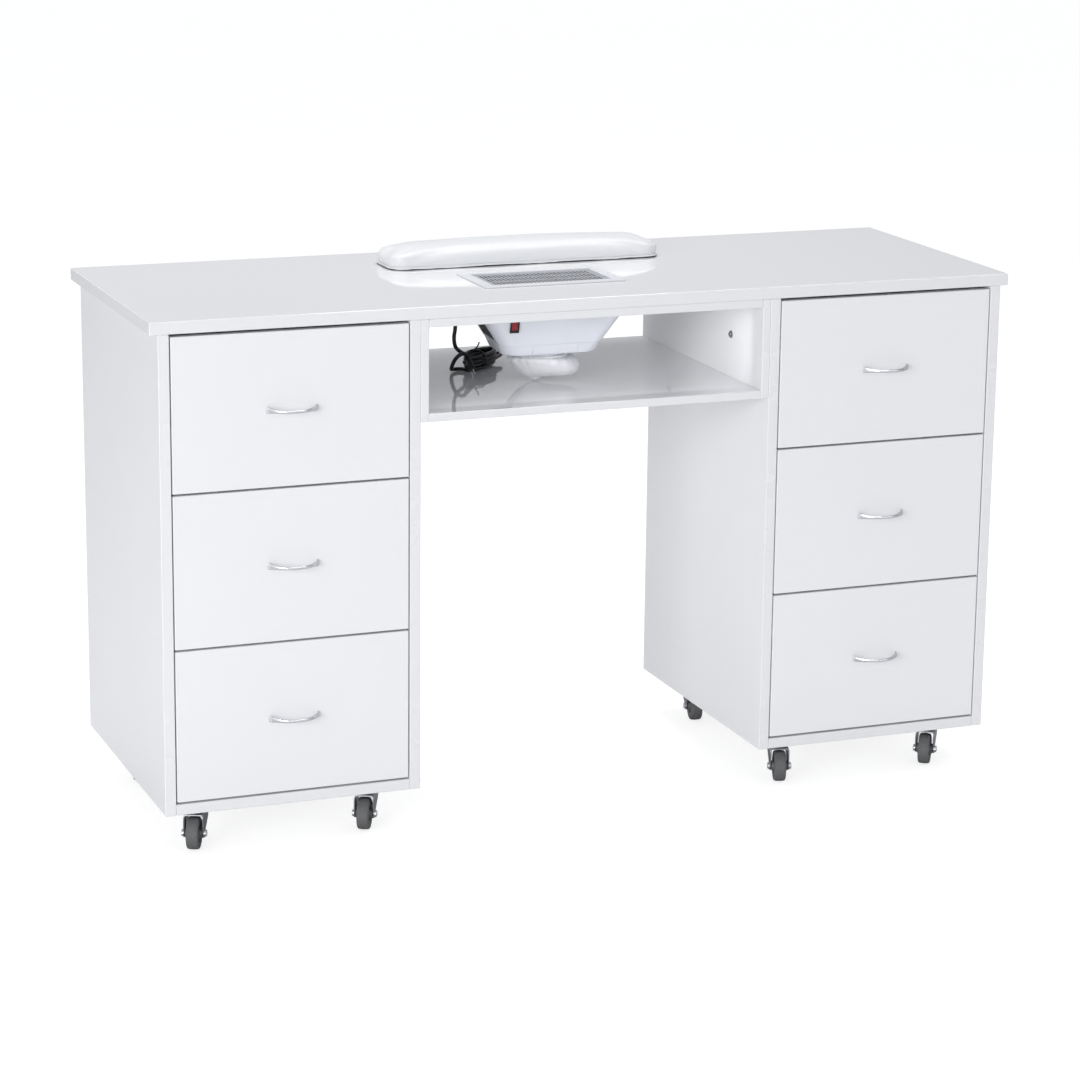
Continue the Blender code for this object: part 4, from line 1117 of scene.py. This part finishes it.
# ---------------------------------------------------------------- power cord
def build_cord():
    """The black lead: down from the housing, a tied bundle, a loop, and its plug with pins."""
    radius, lie = 0.0030, SHELF_TOP + GAP + 0.0030
    coil = Vector((EXTRACTOR.x - 0.0541, EXTRACTOR.y + 0.1157, lie))
    coil_turn = Matrix.Rotation(math.radians(40), 3, "Z")
    entry_drop = 0.0205
    entry = Vector((EXTRACTOR.x - 0.080, EXTRACTOR.y + housing_size(entry_drop)[1] - 0.0004,
                    TOP_UNDERSIDE - entry_drop))
    feed = [entry, entry + Vector((-0.003, 0.009, 0.0005))]
    feed += [coil + Vector(offset) for offset in (
        (-0.0374, -0.0190, 0.1080), (-0.0454, -0.0170, 0.0865), (-0.0469, -0.0190, 0.0645),
        (-0.0489, -0.0195, 0.0500), (-0.0464, -0.0185, 0.0360), (-0.0374, -0.0145, 0.0270))]
    turns, per_turn, rise_per_turn = 3.875, 16, 0.0057
    wound = []
    for i in range(int(turns * per_turn) + 1):
        angle = 0.75 * math.pi - 2 * math.pi * i / per_turn
        number = i / per_turn
        slack = noise.noise(Vector((number * 0.9, 2.0, 0.4)))
        longer = 1.0 + 0.10 * slack
        if 2 < number < 3 and math.cos(angle) > 0:    # one turn reaches further, behind the bag
            longer += 0.60 * math.cos(angle) ** 2
        flat = Vector((0.0400 * longer * math.cos(angle),
                       (0.0130 + 0.0030 * slack) * math.sin(angle), 0))
        wound.append(coil + coil_turn @ flat
                     + Vector((0, 0, rise_per_turn * (turns - number))))
    loop = [coil + Vector(offset) for offset in (
        (-0.0344, -0.0175, 0.0), (-0.0419, -0.0145, 0.0), (-0.0504, -0.0190, 0.0010),
        (-0.0554, -0.0265, 0.0030), (-0.0574, -0.0350, 0.0100), (-0.0556, -0.0420, 0.0200),
        (-0.0494, -0.0446, 0.0275), (-0.0420, -0.0432, 0.0290), (-0.0364, -0.0412, 0.0250))]
    path = catmull([*feed, *wound, *loop], 5)
    cord = piece("lead", tube("lead", path, radius, 18), "cord")
    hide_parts("power_cord")

    ring = []
    for i in range(40):
        angle = 2 * math.pi * i / 40
        ring.append(coil + coil_turn @ Vector((-0.012, 0.0185 * math.cos(angle), 0))
                    + Vector((0, 0, 0.0123 + 0.0140 * math.sin(angle))))
    tail = [ring[9] + coil_turn @ Vector((0.0010, 0, 0.0010)),
            ring[9] + coil_turn @ Vector((0.0020, -0.004, 0.0050)),
            ring[9] + coil_turn @ Vector((0.0050, -0.006, 0.0120))]
    tie = joined("lead_tie", [tube("band", ring, 0.0012, 12, ring=True),
                              tube("band_end", catmull(tail, 5), 0.0011, 12)])
    piece("lead_tie", tie, "black_plastic")
    build_plug(path[-1], Vector((0.15, -0.90, -1.0)).normalized(), radius)


def build_plug(start, ahead, cord_radius):
    """A ribbed strain relief, a flattened body and two pins, along +Z before it is turned."""
    relief = [(cord_radius, -0.0010)]
    for rib in range(5):
        along = 0.0002 + rib * 0.0018
        relief += [(0.0040 + rib * 0.00015, along), (0.0040 + rib * 0.00015, along + 0.0011),
                   (0.0034, along + 0.0012), (0.0034, along + 0.0017)]
    body = [(0.0046, 0.0094), (0.0057, 0.0112), (0.0062, 0.0140), (0.0062, 0.0236),
            (0.0057, 0.0252), (0.0048, 0.0258)]
    outline = loft("plug_body", [[Vector((p.x, p.y * 0.82, p.z)) for p in disc(r, z, 40)]
                                 for r, z in relief + body])
    facing = ahead.to_track_quat("Z", "X").to_matrix().to_4x4()
    place = Matrix.Translation(start) @ facing
    piece("lead_plug", outline, "black_plastic", ROOT, place)
    pins = [moved(loft("pin", [disc(r, z, 20) for r, z in (
        (0.0011, 0.0254), (0.0011, 0.0340), (0.0006, 0.0352))]),
        Matrix.Translation((x, 0, 0))) for x in (-0.0032, 0.0032)]
    piece("lead_plug_pins", joined("pins", pins), "bolt", ROOT, place)


# ---------------------------------------------------------------- small fittings
def build_fittings():
    """Bolts that tie the shelf box to the pedestals: a collar and a head with a hexagon recess."""
    rim, low_rim, head = 0.0056, 0.0046, 0.0040
    bolt = loft("box_bolt", [disc(r, h, 36) for r, h in (
        (rim, 0.0), (rim, 0.0009), (low_rim, 0.0013), (low_rim, 0.0011), (head, 0.0011),
        (head, 0.0024), (head * 0.86, 0.0030), (head * 0.60, 0.0031))])
    recess = loft("recess", [disc(0.0019, 0.0012, 6), disc(0.0019, 0.0040, 6)])
    bolt = boolean(bolt, recess, "DIFFERENCE")
    shelf_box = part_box("centre_shelf")
    height, inset_front, inset_back = 0.065, 0.1130, 0.1130
    for side, sign in (("left", 1), ("right", -1)):
        low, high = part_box(f"centre_{side}_side")
        x = high.x if sign > 0 else low.x
        turn = Matrix.Rotation(sign * math.pi / 2, 4, "Y")
        for end, y in (("front", shelf_box[0].y + inset_front),
                       ("back", shelf_box[1].y - inset_back)):
            place = Vector((x + sign * GAP, y, SHELF_TOP + height))
            piece(f"box_bolt_{side}_{end}", bolt, "cam", ROOT,
                  Matrix.Translation(place) @ turn)


def dress_fittings():
    for node, material in (("armrest_base", "black_plastic"), ("vent_frame", "bezel"),
                           ("vent_grille", "grille"), ("switch_frame", "black_plastic"),
                           ("rocker_switch", "red_plastic"), ("fan_rotor", "black_plastic")):
        paint(node, material)


# ---------------------------------------------------------------- stage, light and camera
FLOOR_GLOW = 0.76
SOFT_FRONT_BACK = (0.55, 0.48)        # strength of the soft light from the front and the back
SOFT_LEFT_RIGHT = (1.00, 0.90)        # and how the left and the right change it
GLOSS_FRONT_BACK = (1.05, 0.60)       # brightness of what shines from the front and the back


def build_stage():
    """A pale floor. Its own glow for the camera keeps it as white as the studio's cove."""
    size = 14.0
    floor = bpy.data.objects.new("floor", mesh_from("floor", [
        (-size, -size, 0), (size, -size, 0), (size, size, 0), (-size, size, 0)], [(0, 1, 2, 3)]))
    bpy.context.scene.collection.objects.link(floor)
    s = Shader("pale_floor")
    rays = s.add("ShaderNodeLightPath")
    tone = s.spread(s.noise(0.8, 2.0), 0.90, 0.93)
    tone = s.math("MULTIPLY", tone, s.spread(rays.outputs["Is Glossy Ray"], 1.0, 0.72))
    tone = s.math("MULTIPLY", tone, s.spread(rays.outputs["Is Camera Ray"], 1.0, 0.50))
    combined = s.add("ShaderNodeCombineColor")
    for channel in range(3):
        s.put(combined, channel, tone)
    glow = s.math("MULTIPLY", rays.outputs["Is Camera Ray"], FLOOR_GLOW)
    s.set(Base_Color=combined.outputs[0], Roughness=0.8, Specular_IOR_Level=0.2,
          Emission_Color=(1.0, 1.0, 1.0), Emission_Strength=glow)
    floor.data.materials.append(s.material)


def build_world():
    """A white cove: plain white for the camera, soft light, and darker behind for gloss."""
    world = bpy.data.worlds.new("studio")
    world.use_nodes = True
    n = Nodes(world.node_tree)
    background = n.tree.nodes["Background"]

    def product(a, b):
        return n.math("MULTIPLY", a, b)

    def choose(share, a, b):
        node = n.add("ShaderNodeMix", data_type="FLOAT")
        for index, value in ((0, share), (2, a), (3, b)):
            n.put(node, index, value)
        return node.outputs[0]

    parts = n.add("ShaderNodeSeparateXYZ")
    n.put(parts, 0, n.add("ShaderNodeTexCoord").outputs["Generated"])
    ways = parts.outputs
    rays = n.add("ShaderNodeLightPath").outputs
    soft = product(n.spread(ways["Y"], *SOFT_FRONT_BACK, -0.8, 0.8),
                   n.spread(ways["X"], *SOFT_LEFT_RIGHT, -0.9, 0.9))
    gloss = product(n.spread(ways["Y"], *GLOSS_FRONT_BACK, -0.55, 0.45),
                    product(n.spread(ways["X"], 1.0, 0.45, 0.15, 0.85),
                            n.spread(ways["Z"], 1.0, 0.6, 0.45, 0.95)))
    n.put(background, "Strength",
          choose(rays["Is Camera Ray"], choose(rays["Is Glossy Ray"], soft, gloss), 1.0))
    n.put(background, "Color", n.mix(rays["Is Camera Ray"], (0.955, 0.970, 1.0), (1.0, 1.0, 1.0)))
    bpy.context.scene.world = world


def softbox(name, place, target, size, power):
    light = bpy.data.lights.new(name, "AREA")
    light.shape = "RECTANGLE"
    light.size, light.size_y = size
    light.energy = power
    obj = bpy.data.objects.new(name, light)
    obj.location = place
    obj.rotation_euler = (Vector(target) - Vector(place)).to_track_quat("-Z", "Y").to_euler()
    bpy.context.scene.collection.objects.link(obj)
    return obj


def light_shelf_box():
    """Light that comes in through the shelf's opening, and never reaches the fronts' edges."""
    low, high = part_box("centre_right_side")
    depth = low.y + 0.030
    for name, power, height, tall, receivers in (
            ("side_glow", 0.19, (low.z + high.z) / 2, 0.10, ("centre_right_side",)),
            ("shelf_glow", 0.045, SHELF_TOP + 0.030, 0.05,
             ("centre_shelf", "housing_shell", "dust_bag_cloth", "dust_bag_cuff"))):
        glow = softbox(name, (0.0, depth, height), (0.0, 0.0, height), (0.48, tall), power)
        glow.visible_camera = False
        glow.visible_glossy = False
        lit = bpy.data.collections.new(f"lit_by_{name}")
        for receiver in receivers:
            lit.objects.link(NODES.get(receiver) or bpy.data.objects[receiver])
        glow.light_linking.receiver_collection = lit


def build_camera():
    place = Vector((-1.776, -4.5564, 1.629))
    yaw, pitch, roll = (math.radians(a) for a in (21.725, 13.750, 0.765))
    forward = Vector((math.sin(yaw) * math.cos(pitch), math.cos(yaw) * math.cos(pitch),
                      -math.sin(pitch)))
    level = Vector((math.cos(yaw), -math.sin(yaw), 0))
    upright = level.cross(forward)
    right = level * math.cos(roll) + upright * math.sin(roll)
    up = upright * math.cos(roll) - level * math.sin(roll)
    data = bpy.data.cameras.new("camera")
    data.sensor_width = 36.0
    data.lens = 109.35
    data.shift_x, data.shift_y = -0.0245, -0.0371
    camera = bpy.data.objects.new("camera", data)
    turn = Matrix((right, up, -forward)).transposed().to_4x4()
    camera.matrix_world = Matrix.Translation(place) @ turn
    bpy.context.scene.collection.objects.link(camera)
    bpy.context.scene.camera = camera


dress_boards()
dress_fittings()
build_handles()
build_runners()
build_casters()
build_cushion()
build_housing()
build_motor()
build_bag()
build_cord()
build_fittings()
build_stage()
build_world()
softbox("key", (-4.9, -4.1, 1.6), (0.0, 0.0, 0.55), (3.2, 2.2), 185.0)
softbox("fill", (3.0, -3.6, 2.0), (0.0, 0.0, 0.4), (2.0, 2.0), 9.0)
softbox("overhead", (0.30, 0.40, 3.4), (0.1, 0.0, 0.7), (2.8, 2.0), 58.0)
light_shelf_box()
build_camera()
bpy.context.scene.view_settings.view_transform = "Standard"
